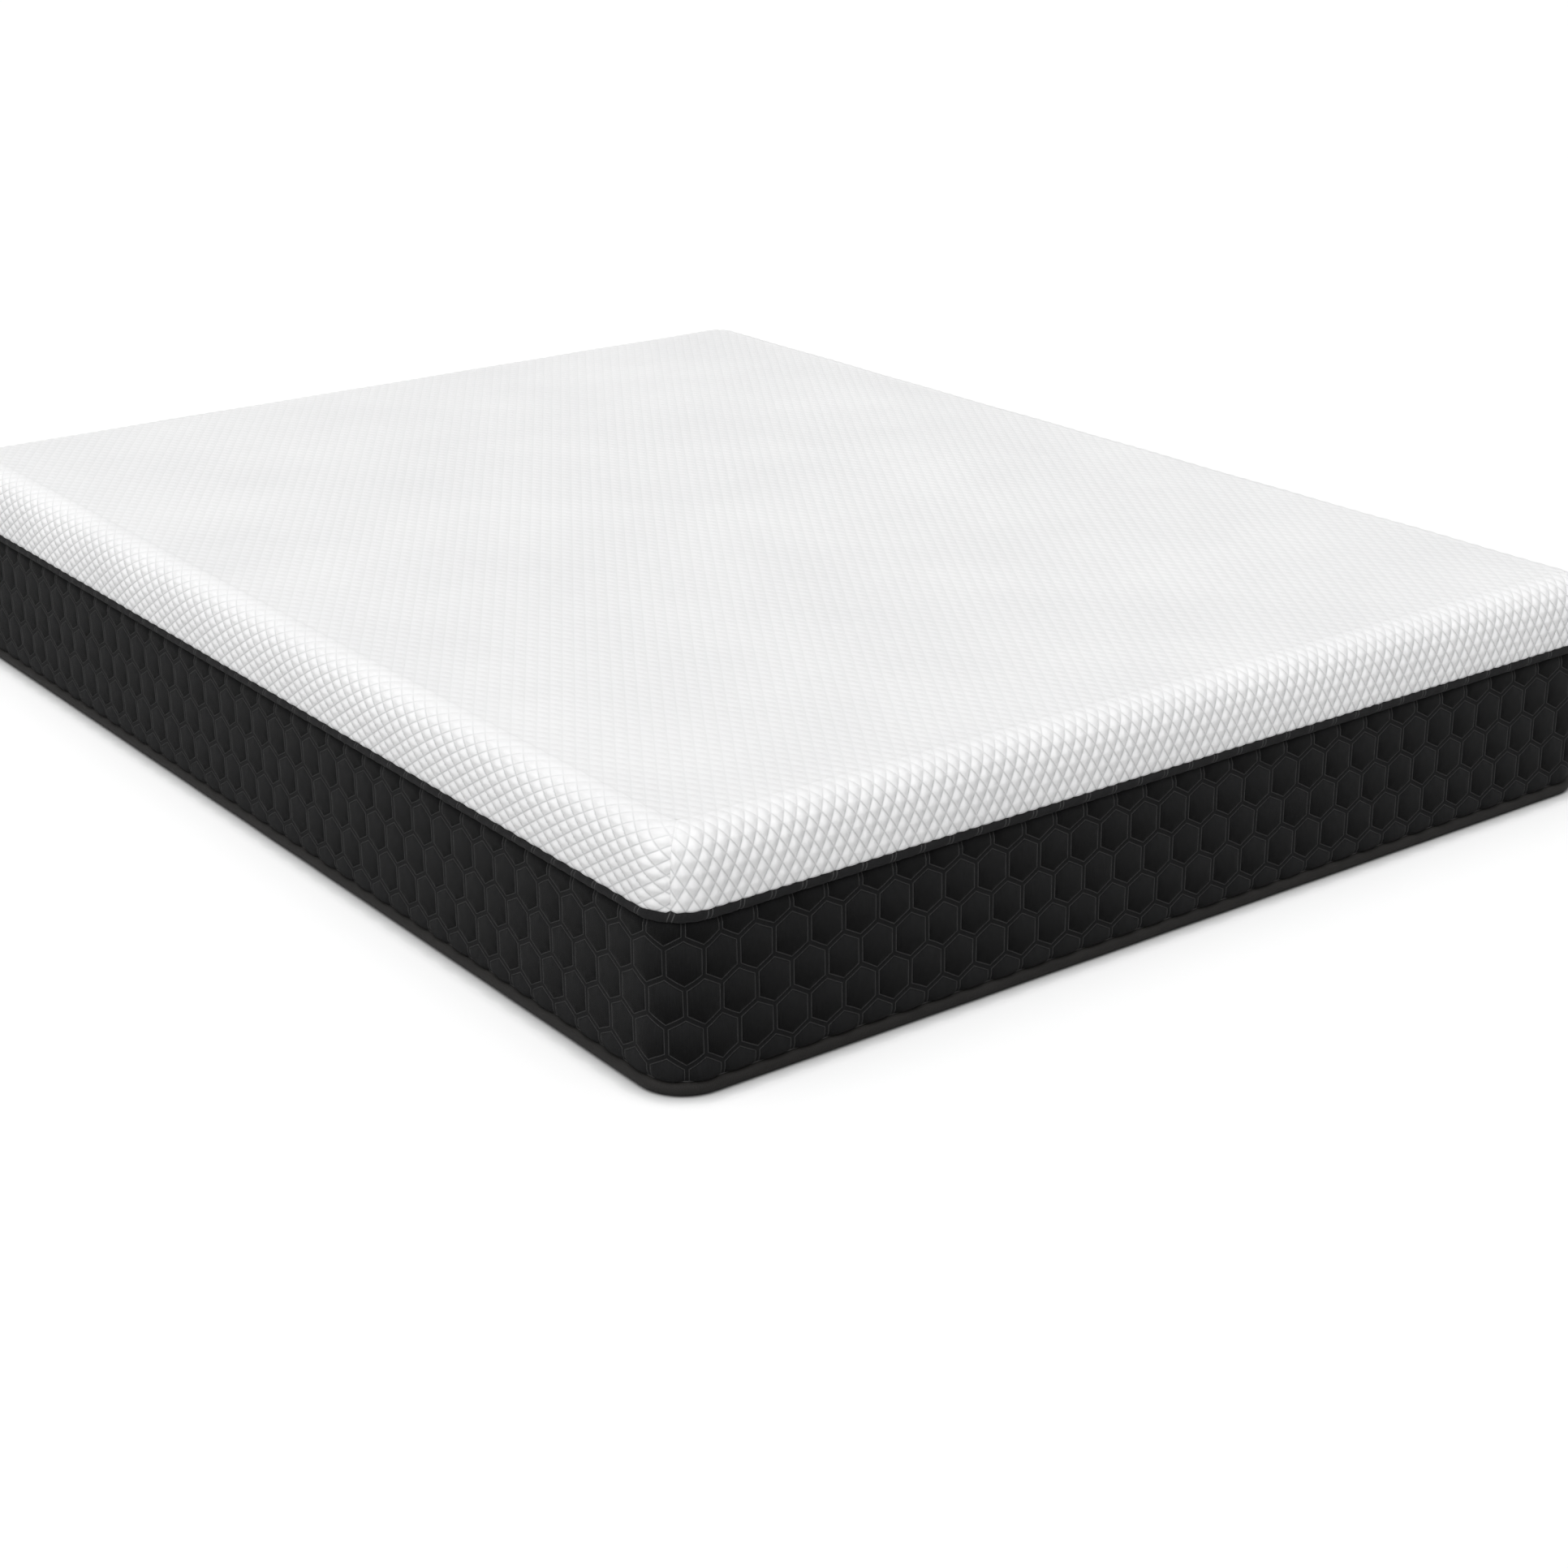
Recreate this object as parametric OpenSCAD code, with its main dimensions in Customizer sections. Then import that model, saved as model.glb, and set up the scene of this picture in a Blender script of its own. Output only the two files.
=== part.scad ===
// Memory foam mattress: a glued foam core in a fire-barrier sock, inside a fitted
// cover with a white knitted top, a black quilted border, two rows of piping and a zip.
// Origin: centre of the footprint on the floor. +X across the width, +Y along the length.

/* [Overall size] */
// Width, over the piping
mattress_w = 1524; // [900:1:2100]
// Length, over the piping
mattress_l = 2032; // [1650:1:2450]
// Height, floor to sleeping surface
mattress_h = 305; // [250:1:400]
// Radius of the four corners seen from above, over the piping
corner_r = 60; // [50:1:120]

/* [Foam core] */
// Thickness of the slow-recovery top layer
memory_foam_t = 76; // [25:1:90]
// Thickness of the middle layer
transition_foam_t = 51; // [20:1:70]

/* [Top cover] */
// Height of the white side, from the upper piping to the sleeping surface
top_side_h = 86; // [50:1:100]
// Radius of the rounded top edge
top_edge_r = 38; // [28:1:42]
// Thickness of the white knit
top_fabric_t = 3; // [2:0.5:5]
// Thickness of the fibre fill under the knit
top_wadding_t = 12; // [10:1:18]
// How far the white sides sit inside the piping
top_inset = 2; // [1:0.5:5]
// Diameter of the thread ridge in each corner seam
corner_thread_d = 1.2; // [0.8:0.1:1.6]

/* [Border] */
// Thickness of the quilted border fabric
border_fabric_t = 3; // [2:0.5:5]
// How far the border sits inside the piping
border_inset = 4; // [3:0.5:6]
// Diameter of the thread in the seam that closes the border band
closing_thread_d = 1; // [0.8:0.1:1.2]

/* [Piping] */
// Outer diameter of the upper piping
upper_piping_d = 15; // [12:0.5:18]
// Outer diameter of the lower piping
lower_piping_d = 16; // [12:0.5:20]
// Thickness of the fabric round each piping cord
piping_sleeve_t = 2; // [1:0.5:3]

/* [Sock and base] */
// Thickness of the fire-barrier sock
sock_t = 1.5; // [1:0.5:3]
// How far the sock is tucked in under the foam core, all round
sock_hem = 160; // [80:10:300]
// Thickness of the underside panel
base_panel_t = 2.5; // [2:0.5:4]

/* [Zip] */
// Free stretch of border between each end of the zip and the corner
zip_end_margin = 52; // [40:1:100]
// Gap between the lower piping and the zip's tape
zip_rise = 0.8; // [0.4:0.1:20]
// Depth of the tape's outer face behind the piping's outer face
zip_depth = 10.5; // [8.5:0.5:11]
// Thickness of each tape
zip_tape_t = 1; // [0.8:0.1:1.2]
// Height of each tape, coil to sewn edge
zip_tape_h = 12; // [10:0.5:16]
// Height of each coil
zip_coil_h = 2.4; // [2:0.1:3]
// How far each coil stands out of its tape
zip_coil_t = 2.4; // [2:0.1:2.6]
// Track between the two coils, for the slider's post
zip_track = 1.6; // [1.4:0.1:2]
// Length of each end stop
zip_stop_l = 5; // [4:0.5:8]

/* [Zip slider] */
// Length of the slider
slider_l = 18; // [16:1:24]
// Height of the slider
slider_h = 13; // [12:0.5:15]
// Thickness of the slider's two plates
slider_plate_t = 1.4; // [1.2:0.1:1.5]
// Gap between the slider and what it slides on
slider_gap = 0.4; // [0.3:0.05:0.5]
// Thickness of the post between the coils
slider_post_t = 0.9; // [0.7:0.1:1]
// Width of the bridge that holds the pull
bridge_w = 2; // [1.6:0.1:2.4]
// Length of the bridge
bridge_l = 10; // [9:0.5:12]
// Thickness of the pull and of its pivot bar
pull_t = 1.6; // [1.2:0.1:1.6]
// Length of the pull from its pivot
pull_l = 26; // [20:1:40]
// Height of the pull plate
pull_h = 7; // [6.5:0.5:9]

/* [Label] */
// Width of the blank label
label_w = 50; // [30:1:80]
// Height of the blank label
label_h = 70; // [40:1:90]
// Thickness of the blank label
label_t = 0.6; // [0.4:0.1:0.8]

/* [Hidden] */
$fn = 64;

ply_gap = 0.2;            // air between neighbouring plies of the cover and core
thread_gap = 0.2;         // air between a seam thread and the fabric it lies on
overshoot = 5;            // how far a cutting block runs past what it cuts

// depths of the cover's plies behind the piping's outer face: at the sides the wadding
// fills the room up to the sock, and the sock stands clear of both rows of piping
wadding_inset = top_inset + top_fabric_t + ply_gap;
wadding_end_inset = max(wadding_inset + top_wadding_t, lower_piping_d, upper_piping_d);
sock_inset = wadding_end_inset + ply_gap;
core_inset = sock_inset + sock_t + ply_gap;
backing_inset = border_inset + border_fabric_t + ply_gap;

// radius of the rounded top edge at each ply
wadding_edge_r = top_edge_r - top_fabric_t - ply_gap;
wadding_end_edge_r = wadding_edge_r - top_wadding_t;
sock_edge_r = wadding_end_edge_r - ply_gap;
core_edge_r = sock_edge_r - sock_t - ply_gap;

// heights
border_top_z = mattress_h - top_side_h;
sock_z = base_panel_t + ply_gap;
core_z = sock_z + sock_t + ply_gap;
core_top_z = mattress_h - (top_edge_r - core_edge_r);
memory_foam_z = core_top_z - memory_foam_t;
transition_foam_z = memory_foam_z - transition_foam_t;
border_z = lower_piping_d + ply_gap;
border_end_z = border_top_z - upper_piping_d - ply_gap;
top_cover_z = border_top_z + ply_gap;

// zip, measured on the far short side
far_face_y = mattress_l / 2;
zip_l = mattress_w - 2 * corner_r - 2 * zip_end_margin;
zip_tail = pull_l + 8;    // bare tape past the open end, where the pull lies
coil_closed_x = zip_l / 2 - zip_stop_l;
coil_open_x = -zip_l / 2 + zip_tail;
tape_face_y = far_face_y - zip_depth;
tape_back_y = tape_face_y - zip_tape_t;
coil_face_y = tape_face_y + zip_coil_t;
coil_inner = zip_track / 2;
coil_outer = coil_inner + zip_coil_h;
tape_outer = coil_outer + zip_tape_h;
zip_z = lower_piping_d + zip_rise + tape_outer;
pocket_clear = 1.2;
fold_cover = 5;           // how far the border's folded edge hides the tape

// slider: depths along Y, from the tape outwards
slider_end_gap = 2;       // air between the slider and a stop at each end of its travel
slider_rest_x = coil_closed_x - slider_end_gap - slider_l / 2;
plate_in_y = coil_face_y + slider_gap;
plate_out_y = plate_in_y + slider_plate_t;
back_plate_out_y = tape_back_y - slider_gap;
back_plate_in_y = back_plate_out_y - slider_plate_t;
flange_t = 1.2;
post_l = 6;
bridge_leg_l = 1.5;
bridge_beam_t = 1.2;
pull_gap = 0.3;
pull_y = plate_out_y + pull_gap + pull_t / 2;
bridge_in_y = pull_y + pull_t / 2 + pull_gap;
bridge_out_y = bridge_in_y + bridge_beam_t;
pull_pivot_x = -(bridge_l / 2 - bridge_leg_l - pull_gap - pull_t / 2);
pull_plate_x = -(bridge_l / 2 + 1);

// A sweep of a flat outline round a rounded rectangle. The outline's x runs outwards
// from the centre of a corner, and its y is the height.
module round_the_edge(w, l, r) {
    for (corner = [[1, 1, 0], [-1, 1, 90], [-1, -1, 180], [1, -1, 270]])
        translate([corner[0] * (w / 2 - r), corner[1] * (l / 2 - r), 0])
            rotate([0, 0, corner[2]])
                rotate_extrude(angle = 90) children();
    for (side = [[0, l - 2 * r, w / 2 - r], [90, w - 2 * r, l / 2 - r],
                 [180, l - 2 * r, w / 2 - r], [270, w - 2 * r, l / 2 - r]])
        rotate([0, 0, side[0]])
            translate([side[2], side[1] / 2, 0])
                rotate([90, 0, 0])
                    linear_extrude(height = side[1]) children();
}

// A block with round corners seen from above; edge rounds its top edge.
module rounded_block(inset, z0, z1, edge = 0) {
    w = mattress_w - 2 * inset;
    l = mattress_l - 2 * inset;
    r = corner_r - inset;
    union() {
        round_the_edge(w, l, r) block_outline(r, z0, z1, edge);
        translate([-(w / 2 - r), -(l / 2 - r), z0])
            cube([w - 2 * r, l - 2 * r, z1 - z0]);
    }
}

module block_outline(r, z0, z1, edge) {
    if (edge > 0) {
        translate([0, z0]) square([r, z1 - z0 - edge]);
        translate([0, z0]) square([r - edge, z1 - z0]);
        translate([r - edge, z1 - edge])
            intersection() {
                circle(r = edge);
                square(edge);
            }
    } else {
        translate([0, z0]) square([r, z1 - z0]);
    }
}

// A band of one thickness that stands all round, at one inset from the piping.
module upright_band(inset, thickness, z0, z1) {
    r = corner_r - inset;
    round_the_edge(mattress_w - 2 * inset, mattress_l - 2 * inset, r)
        translate([r - thickness, z0]) square([thickness, z1 - z0]);
}

// A round cord, or the sleeve round it, all the way round.
module piping_ring(outer_d, z, d, bore_d = 0) {
    round_the_edge(mattress_w, mattress_l, corner_r)
        translate([corner_r - outer_d / 2, z])
            difference() {
                circle(d = d);
                if (bore_d > 0) circle(d = bore_d);
            }
}

module support_foam() {
    color("#f2efe2") rounded_block(core_inset, core_z, transition_foam_z);
}

module transition_foam() {
    color("#dfe9ee") rounded_block(core_inset, transition_foam_z, memory_foam_z);
}

module memory_foam() {
    color("#cfe0ea")
        rounded_block(core_inset, memory_foam_z, core_top_z, core_edge_r);
}

module fire_sock() {
    top = core_top_z + ply_gap;
    color("#e8e6df") difference() {
        rounded_block(sock_inset, sock_z, top + sock_t, sock_edge_r);
        rounded_block(sock_inset + sock_t, sock_z + sock_t, top, sock_edge_r - sock_t);
        translate([-mattress_w / 2 + sock_inset + sock_hem, -mattress_l / 2 + sock_inset + sock_hem,
                   sock_z - overshoot])
            cube([mattress_w - 2 * (sock_inset + sock_hem), mattress_l - 2 * (sock_inset + sock_hem),
                  2 * overshoot]);
    }
}

module base_panel() {
    color("#2b2b2c") rounded_block(lower_piping_d, 0, base_panel_t);
}

module lower_piping_cord() {
    color("#d8d6cf")
        piping_ring(lower_piping_d, lower_piping_d / 2,
                    lower_piping_d - 2 * piping_sleeve_t - ply_gap);
}

module lower_piping() {
    color("#2c2b2a")
        piping_ring(lower_piping_d, lower_piping_d / 2, lower_piping_d,
                    lower_piping_d - 2 * piping_sleeve_t);
}

module upper_piping_cord() {
    color("#d8d6cf")
        piping_ring(upper_piping_d, border_top_z - upper_piping_d / 2,
                    upper_piping_d - 2 * piping_sleeve_t - ply_gap);
}

module upper_piping() {
    color("#1b1b1c")
        piping_ring(upper_piping_d, border_top_z - upper_piping_d / 2, upper_piping_d,
                    upper_piping_d - 2 * piping_sleeve_t);
}

// The recess that the zip lies in, cut out of the border and its backing.
module zip_pocket(reach, depth_y) {
    l = zip_l + 2 * pocket_clear;
    translate([-l / 2, depth_y, zip_z - reach])
        cube([l, far_face_y - depth_y + overshoot, 2 * reach]);
}

module border_backing() {
    color("#454546") difference() {
        upright_band(backing_inset, sock_inset - ply_gap - backing_inset, border_z, border_end_z);
        zip_pocket(tape_outer + ply_gap, tape_back_y - ply_gap);
        zip_pocket(slider_h / 2 + pocket_clear, back_plate_in_y - slider_gap);
    }
}

module border_panel() {
    color("#1a1a1b") difference() {
        upright_band(border_inset, border_fabric_t, border_z, border_end_z);
        zip_pocket(tape_outer - fold_cover, tape_face_y);
    }
}

module border_closing_seam() {
    color("#0f0f10")
        translate([mattress_w / 2 - border_inset + thread_gap + closing_thread_d / 2,
                   mattress_l / 2 - 2 * corner_r, border_z])
            cylinder(h = border_end_z - border_z, d = closing_thread_d);
}

module top_wadding() {
    top = mattress_h - top_fabric_t - ply_gap;
    color("#f4f4f2") difference() {
        rounded_block(wadding_inset, top_cover_z, top, wadding_edge_r);
        rounded_block(wadding_end_inset, top_cover_z - overshoot,
                      top - top_wadding_t, wadding_end_edge_r);
    }
}

module top_cover() {
    color("#f5f5f4") difference() {
        rounded_block(top_inset, top_cover_z, mattress_h, top_edge_r);
        rounded_block(top_inset + top_fabric_t, top_cover_z - overshoot,
                      mattress_h - top_fabric_t, top_edge_r - top_fabric_t);
    }
}

// One mitre seam: a thread ridge up the corner and over part of the rounded edge.
module corner_seam(side_x, side_y) {
    turn = atan2(side_y, side_x);
    reach = corner_r - top_inset + thread_gap + corner_thread_d / 2;
    bend_r = top_edge_r + thread_gap + corner_thread_d / 2;
    bend_z = mattress_h - top_edge_r;
    color("#e4e4e2")
        translate([side_x * (mattress_w / 2 - corner_r), side_y * (mattress_l / 2 - corner_r), 0])
            rotate([0, 0, turn])
                union() {
                    translate([reach, 0, top_cover_z])
                        cylinder(h = bend_z - top_cover_z, d = corner_thread_d);
                    translate([reach - bend_r, 0, bend_z])
                        rotate([90, 0, 0])
                            rotate_extrude(angle = 60)
                                translate([bend_r, 0]) circle(d = corner_thread_d);
                }
}

module corner_seam_near_left() { corner_seam(-1, -1); }
module corner_seam_near_right() { corner_seam(1, -1); }
module corner_seam_far_left() { corner_seam(-1, 1); }
module corner_seam_far_right() { corner_seam(1, 1); }

// A bar of the zip between two places along it, two heights about its centre line and
// two depths.
module zip_bar(x0, x1, low, high, y0, y1) {
    translate([x0, y0, zip_z + low]) cube([x1 - x0, y1 - y0, high - low]);
}

module zip_tape(low, high) {
    color("#202021") zip_bar(-zip_l / 2, zip_l / 2, low, high, tape_back_y, tape_face_y);
}

module zip_coil(low, high) {
    color("#101011") zip_bar(coil_open_x, coil_closed_x, low, high, tape_face_y, coil_face_y);
}

module zip_tape_upper() { zip_tape(coil_inner, tape_outer); }
module zip_tape_lower() { zip_tape(-tape_outer, -coil_inner); }
module zip_coil_upper() { zip_coil(coil_inner, coil_outer); }
module zip_coil_lower() { zip_coil(-coil_outer, -coil_inner); }

module zip_stop(x) {
    color("#303031")
        zip_bar(x, x + zip_stop_l, -coil_outer, coil_outer, tape_face_y, coil_face_y);
}

module zip_stop_closed() { zip_stop(coil_closed_x); }
module zip_stop_open() { zip_stop(coil_open_x - zip_stop_l); }

// A plate of the slider, centred on the slider's own x and on the zip's centre line.
module slider_plate(l, h, y0, y1) {
    translate([slider_rest_x - l / 2, y0, zip_z - h / 2]) cube([l, y1 - y0, h]);
}

module zip_slider() {
    color("#6f6f72") union() {
        slider_plate(slider_l, slider_h, plate_in_y, plate_out_y);
        slider_plate(slider_l, slider_h, back_plate_in_y, back_plate_out_y);
        slider_plate(post_l, slider_post_t, back_plate_in_y, plate_out_y);
        for (side = [-1, 1])
            translate([slider_rest_x - slider_l / 2, tape_face_y + slider_gap,
                       zip_z + side * (slider_h - flange_t) / 2 - flange_t / 2])
                cube([slider_l, plate_out_y - tape_face_y - slider_gap, flange_t]);
        difference() {
            slider_plate(bridge_l, bridge_w, plate_in_y, bridge_out_y);
            slider_plate(bridge_l - 2 * bridge_leg_l, bridge_w + overshoot, plate_out_y, bridge_in_y);
        }
    }
}

module zip_pull() {
    arm_t = 1.6;
    arm_in = bridge_w / 2 + pull_gap;
    color("#77777a") translate([slider_rest_x, pull_y, zip_z]) union() {
        translate([pull_pivot_x, 0, 0])
            cylinder(h = 2 * (arm_in + arm_t), d = pull_t, center = true);
        for (side = [-1, 1])
            translate([pull_plate_x - arm_t, -pull_t / 2,
                       side * (arm_in + arm_t / 2) - arm_t / 2])
                cube([pull_pivot_x - pull_plate_x + arm_t, pull_t, arm_t]);
        translate([pull_pivot_x - pull_l, -pull_t / 2, -pull_h / 2])
            cube([pull_plate_x - pull_pivot_x + pull_l, pull_t, pull_h]);
    }
}

module care_label() {
    color("#ededea")
        translate([mattress_w / 2 - border_inset + thread_gap, mattress_l / 2 - 4 * corner_r,
                   border_end_z - label_h])
            cube([label_t, label_w, label_h]);
}

support_foam();
transition_foam();
memory_foam();
fire_sock();
base_panel();
lower_piping_cord();
lower_piping();
border_backing();
border_panel();
border_closing_seam();
upper_piping_cord();
upper_piping();
top_wadding();
top_cover();
corner_seam_near_left();
corner_seam_near_right();
corner_seam_far_left();
corner_seam_far_right();
zip_tape_upper();
zip_tape_lower();
zip_coil_upper();
zip_coil_lower();
zip_stop_closed();
zip_stop_open();
zip_slider();
zip_pull();
care_label();
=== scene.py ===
# %% [markdown]
# # A memory foam mattress in a fitted cover
# The bed is a block of glued foam inside a sewn cover: a white knitted top with small
# raised diamonds, a black quilted border with honeycomb cells, and a row of piping along
# the top and the bottom of the border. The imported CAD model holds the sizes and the
# joints. This script makes the cloth, the stitching and the light round it.

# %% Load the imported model
import math

import bmesh
import bpy
import numpy as np
from mathutils import Matrix, Vector


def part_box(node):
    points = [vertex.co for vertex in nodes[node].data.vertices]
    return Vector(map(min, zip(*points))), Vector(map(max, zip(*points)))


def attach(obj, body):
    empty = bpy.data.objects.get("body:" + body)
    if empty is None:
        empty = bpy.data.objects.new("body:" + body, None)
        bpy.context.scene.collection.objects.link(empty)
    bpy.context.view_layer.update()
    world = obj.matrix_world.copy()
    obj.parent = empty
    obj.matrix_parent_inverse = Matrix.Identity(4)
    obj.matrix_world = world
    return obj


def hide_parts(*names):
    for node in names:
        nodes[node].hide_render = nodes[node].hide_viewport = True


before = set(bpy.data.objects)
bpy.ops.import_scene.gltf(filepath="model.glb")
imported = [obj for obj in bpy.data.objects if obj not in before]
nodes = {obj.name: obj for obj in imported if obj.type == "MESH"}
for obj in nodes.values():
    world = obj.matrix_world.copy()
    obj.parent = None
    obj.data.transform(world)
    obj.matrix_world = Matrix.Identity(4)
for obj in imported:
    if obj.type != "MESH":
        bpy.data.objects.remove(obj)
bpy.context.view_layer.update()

MM = 0.001

# %% [markdown]
# ## The bed's own measures
# The bed's width, length, border and piping are read from the CAD solids. The corner's
# radius and the finer measures of the cloth are set in this script.
# The piping stands furthest out, so depths are measured inwards from its outer face.

# %% Read the sizes from the CAD nodes
upper_low, upper_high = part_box("upper_piping")
lower_low, lower_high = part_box("lower_piping")
border_low, border_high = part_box("border_panel")

half_w = upper_high.x
half_l = upper_high.y
corner_r = 60 * MM            # of the piping's outer face, seen from above
border_depth = half_w - border_high.x
lower_d = lower_high.z - lower_low.z
run_x = half_w - corner_r     # half of the straight stretch along the width
run_y = half_l - corner_r     # half of the straight stretch along the length
print("straight stretches:", round(2 * run_x, 3), round(2 * run_y, 3), "m")

# %% [markdown]
# ## Camera
# The camera stands off the near corner, a little above the bed, and looks down across
# both sides. It is placed from that corner, and is turned by three angles: its heading,
# its dip and a very small roll.

# %% Place the camera
near_corner = Vector((-half_w, -half_l, 0))
eye = near_corner + Vector((-1.4395, -2.1647, 1.398))
heading, dip, roll = (math.radians(a) for a in (53.64, 21.57, -0.57))
look = Vector((math.cos(dip) * math.cos(heading), math.cos(dip) * math.sin(heading),
               -math.sin(dip)))
level = look.cross(Vector((0, 0, 1))).normalized()
above = level.cross(look)
side = level * math.cos(roll) + above * math.sin(roll)
upright = above * math.cos(roll) - level * math.sin(roll)

camera_data = bpy.data.cameras.new("camera")
camera_data.sensor_width = 36
camera_data.lens = 63.1
camera_data.clip_end = 200
camera = bpy.data.objects.new("camera", camera_data)
camera.matrix_world = Matrix.Translation(eye) @ Matrix((side, upright, -look)).transposed().to_4x4()
bpy.context.scene.collection.objects.link(camera)
bpy.context.scene.camera = camera

# %% [markdown]
# ## Floor and light
# A product set-up: a white floor that runs far past the view, under a sky that is bright
# straight overhead and dim near the horizon, like one very large soft box. The floor
# throws light back onto the sides, so the black cloth keeps its detail, and the overhead
# light makes the tops of the quilting lighter than the undersides. A weak lamp on the
# left gives the rows of piping a faint shine. Looked at directly, the sky is plain white.

# %% Floor
def new_object(name, points, faces):
    mesh = bpy.data.meshes.new(name)
    mesh.from_pydata(points, [], faces)
    mesh.update()
    piece = bpy.data.objects.new(name, mesh)
    bpy.context.scene.collection.objects.link(piece)
    return piece


FLOOR_TONE = 0.68
FLOOR_LIFT = 0.35          # the floor is lifted to white only as it is seen
SHADE_REACH = 0.028        # a dark line of shade where the bed meets the floor
SHADE_POWER = 1.6


def floor_material():
    material = bpy.data.materials.new("floor_white")
    material.use_nodes = True
    tree = material.node_tree
    shader = tree.nodes["Principled BSDF"]
    shader.inputs["Base Color"].default_value = (FLOOR_TONE, FLOOR_TONE, FLOOR_TONE, 1)
    shader.inputs["Roughness"].default_value = 0.9
    shader.inputs["Specular IOR Level"].default_value = 0.0
    shader.inputs["Emission Color"].default_value = (1, 1, 1, 1)
    seen = tree.nodes.new("ShaderNodeLightPath").outputs["Is Camera Ray"]
    lifted = tree.nodes.new("ShaderNodeMath")
    lifted.operation = "MULTIPLY"
    lifted.inputs[1].default_value = FLOOR_LIFT
    tree.links.new(seen, lifted.inputs[0])
    near = tree.nodes.new("ShaderNodeAmbientOcclusion")
    near.samples = 8
    near.inputs["Distance"].default_value = SHADE_REACH
    near.inputs["Color"].default_value = shader.inputs["Base Color"].default_value
    depth = tree.nodes.new("ShaderNodeMath")
    depth.operation = "POWER"
    depth.inputs[1].default_value = SHADE_POWER
    tree.links.new(near.outputs["AO"], depth.inputs[0])
    shade = tree.nodes.new("ShaderNodeMath")
    shade.operation = "MULTIPLY"
    tree.links.new(lifted.outputs[0], shade.inputs[0])
    tree.links.new(depth.outputs[0], shade.inputs[1])
    tree.links.new(shade.outputs[0], shader.inputs["Emission Strength"])
    tree.links.new(near.outputs["Color"], shader.inputs["Base Color"])
    return material


reach = 60
floor_corners = [(-reach, -reach, 0), (reach, -reach, 0), (reach, reach, 0), (-reach, reach, 0)]
floor = new_object("floor", floor_corners, [(0, 1, 2, 3)])
floor.data.materials.append(floor_material())


# %% Sky and lamp
def overhead_sky(low, high, power):
    """A sky whose brightness grows from low at the horizon to low + high a little left of overhead."""
    world = bpy.data.worlds.new("overhead_sky")
    world.use_nodes = True
    tree = world.node_tree
    where = tree.nodes.new("ShaderNodeTexCoord").outputs["Generated"]
    facing = tree.nodes.new("ShaderNodeVectorMath")
    facing.operation = "DOT_PRODUCT"
    facing.inputs[1].default_value = Vector((-0.34, -0.30, 1)).normalized()
    tree.links.new(where, facing.inputs[0])
    last = facing.outputs["Value"]
    for operation, value in (("MAXIMUM", 0.0), ("POWER", power), ("MULTIPLY", high), ("ADD", low)):
        step = tree.nodes.new("ShaderNodeMath")
        step.operation = operation
        step.inputs[1].default_value = value
        tree.links.new(last, step.inputs[0])
        last = step.outputs[0]
    seen = tree.nodes.new("ShaderNodeMix")
    seen.inputs["B"].default_value = 1.0
    tree.links.new(tree.nodes.new("ShaderNodeLightPath").outputs["Is Camera Ray"], seen.inputs["Factor"])
    tree.links.new(last, seen.inputs["A"])
    tree.links.new(seen.outputs["Result"], tree.nodes["Background"].inputs["Strength"])
    tree.nodes["Background"].inputs["Color"].default_value = (1, 1, 1, 1)
    return world


bpy.context.scene.world = overhead_sky(0.05, 3.65, 5)
bpy.context.scene.view_settings.view_transform = "Standard"

light = bpy.data.lights.new("left_lamp", "AREA")
light.shape = "SQUARE"
light.size = 2.5
light.energy = 12
lamp = bpy.data.objects.new("left_lamp", light)
lamp.location = (-4.5, 1.0, 1.6)
lamp.rotation_euler = (Vector((0, 0, 0.15)) - lamp.location).to_track_quat("-Z", "Y").to_euler()
bpy.context.scene.collection.objects.link(lamp)

# %% [markdown]
# ## Walking round the edge
# The border and both rows of piping run round the same rounded rectangle. One function
# turns a distance along it into a place and an outward direction. It starts in the middle
# of the near left corner and goes round past the near right corner.

# %% The loop round the bed
quarter = math.pi / 2
arc_r = corner_r - border_depth          # the loop's length is measured on the border's face
arc_l = arc_r * quarter
stretches = [  # (length, corner centre that it starts from, direction of run, start angle)
    (arc_l / 2, (-run_x, -run_y), (0, 0), math.radians(225)),
    (2 * run_x, (-run_x, -run_y), (1, 0), math.radians(270)),
    (arc_l, (run_x, -run_y), (0, 0), math.radians(270)),
    (2 * run_y, (run_x, -run_y), (0, 1), math.radians(0)),
    (arc_l, (run_x, run_y), (0, 0), math.radians(0)),
    (2 * run_x, (run_x, run_y), (-1, 0), math.radians(90)),
    (arc_l, (-run_x, run_y), (0, 0), math.radians(90)),
    (2 * run_y, (-run_x, run_y), (0, -1), math.radians(180)),
    (arc_l / 2, (-run_x, -run_y), (0, 0), math.radians(180)),
]
stretch_l = np.array([s[0] for s in stretches])
stretch_end = np.cumsum(stretch_l)
loop_l = stretch_end[-1]
stretch_at = np.array([s[1] for s in stretches])
stretch_run = np.array([s[2] for s in stretches], float)
stretch_angle = np.array([s[3] for s in stretches])
stretch_bends = np.all(stretch_run == 0, axis=1)


def walk(distance, depth, height):
    """Places at a distance round the bed, a depth behind the piping's face, and a height."""
    distance, depth, height = np.broadcast_arrays(distance, depth, height)
    d = np.mod(distance, loop_l)
    k = np.minimum(np.searchsorted(stretch_end, d, side="right"), len(stretches) - 1)
    local = d - (stretch_end[k] - stretch_l[k])
    angle = stretch_angle[k] + np.where(stretch_bends[k], local / arc_r, 0)
    centre = stretch_at[k] + stretch_run[k] * local[..., None]
    r = corner_r - depth
    return np.stack([centre[..., 0] + r * np.cos(angle), centre[..., 1] + r * np.sin(angle),
                     height], axis=-1)


print("once round the border:", round(float(loop_l), 3), "m")

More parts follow.
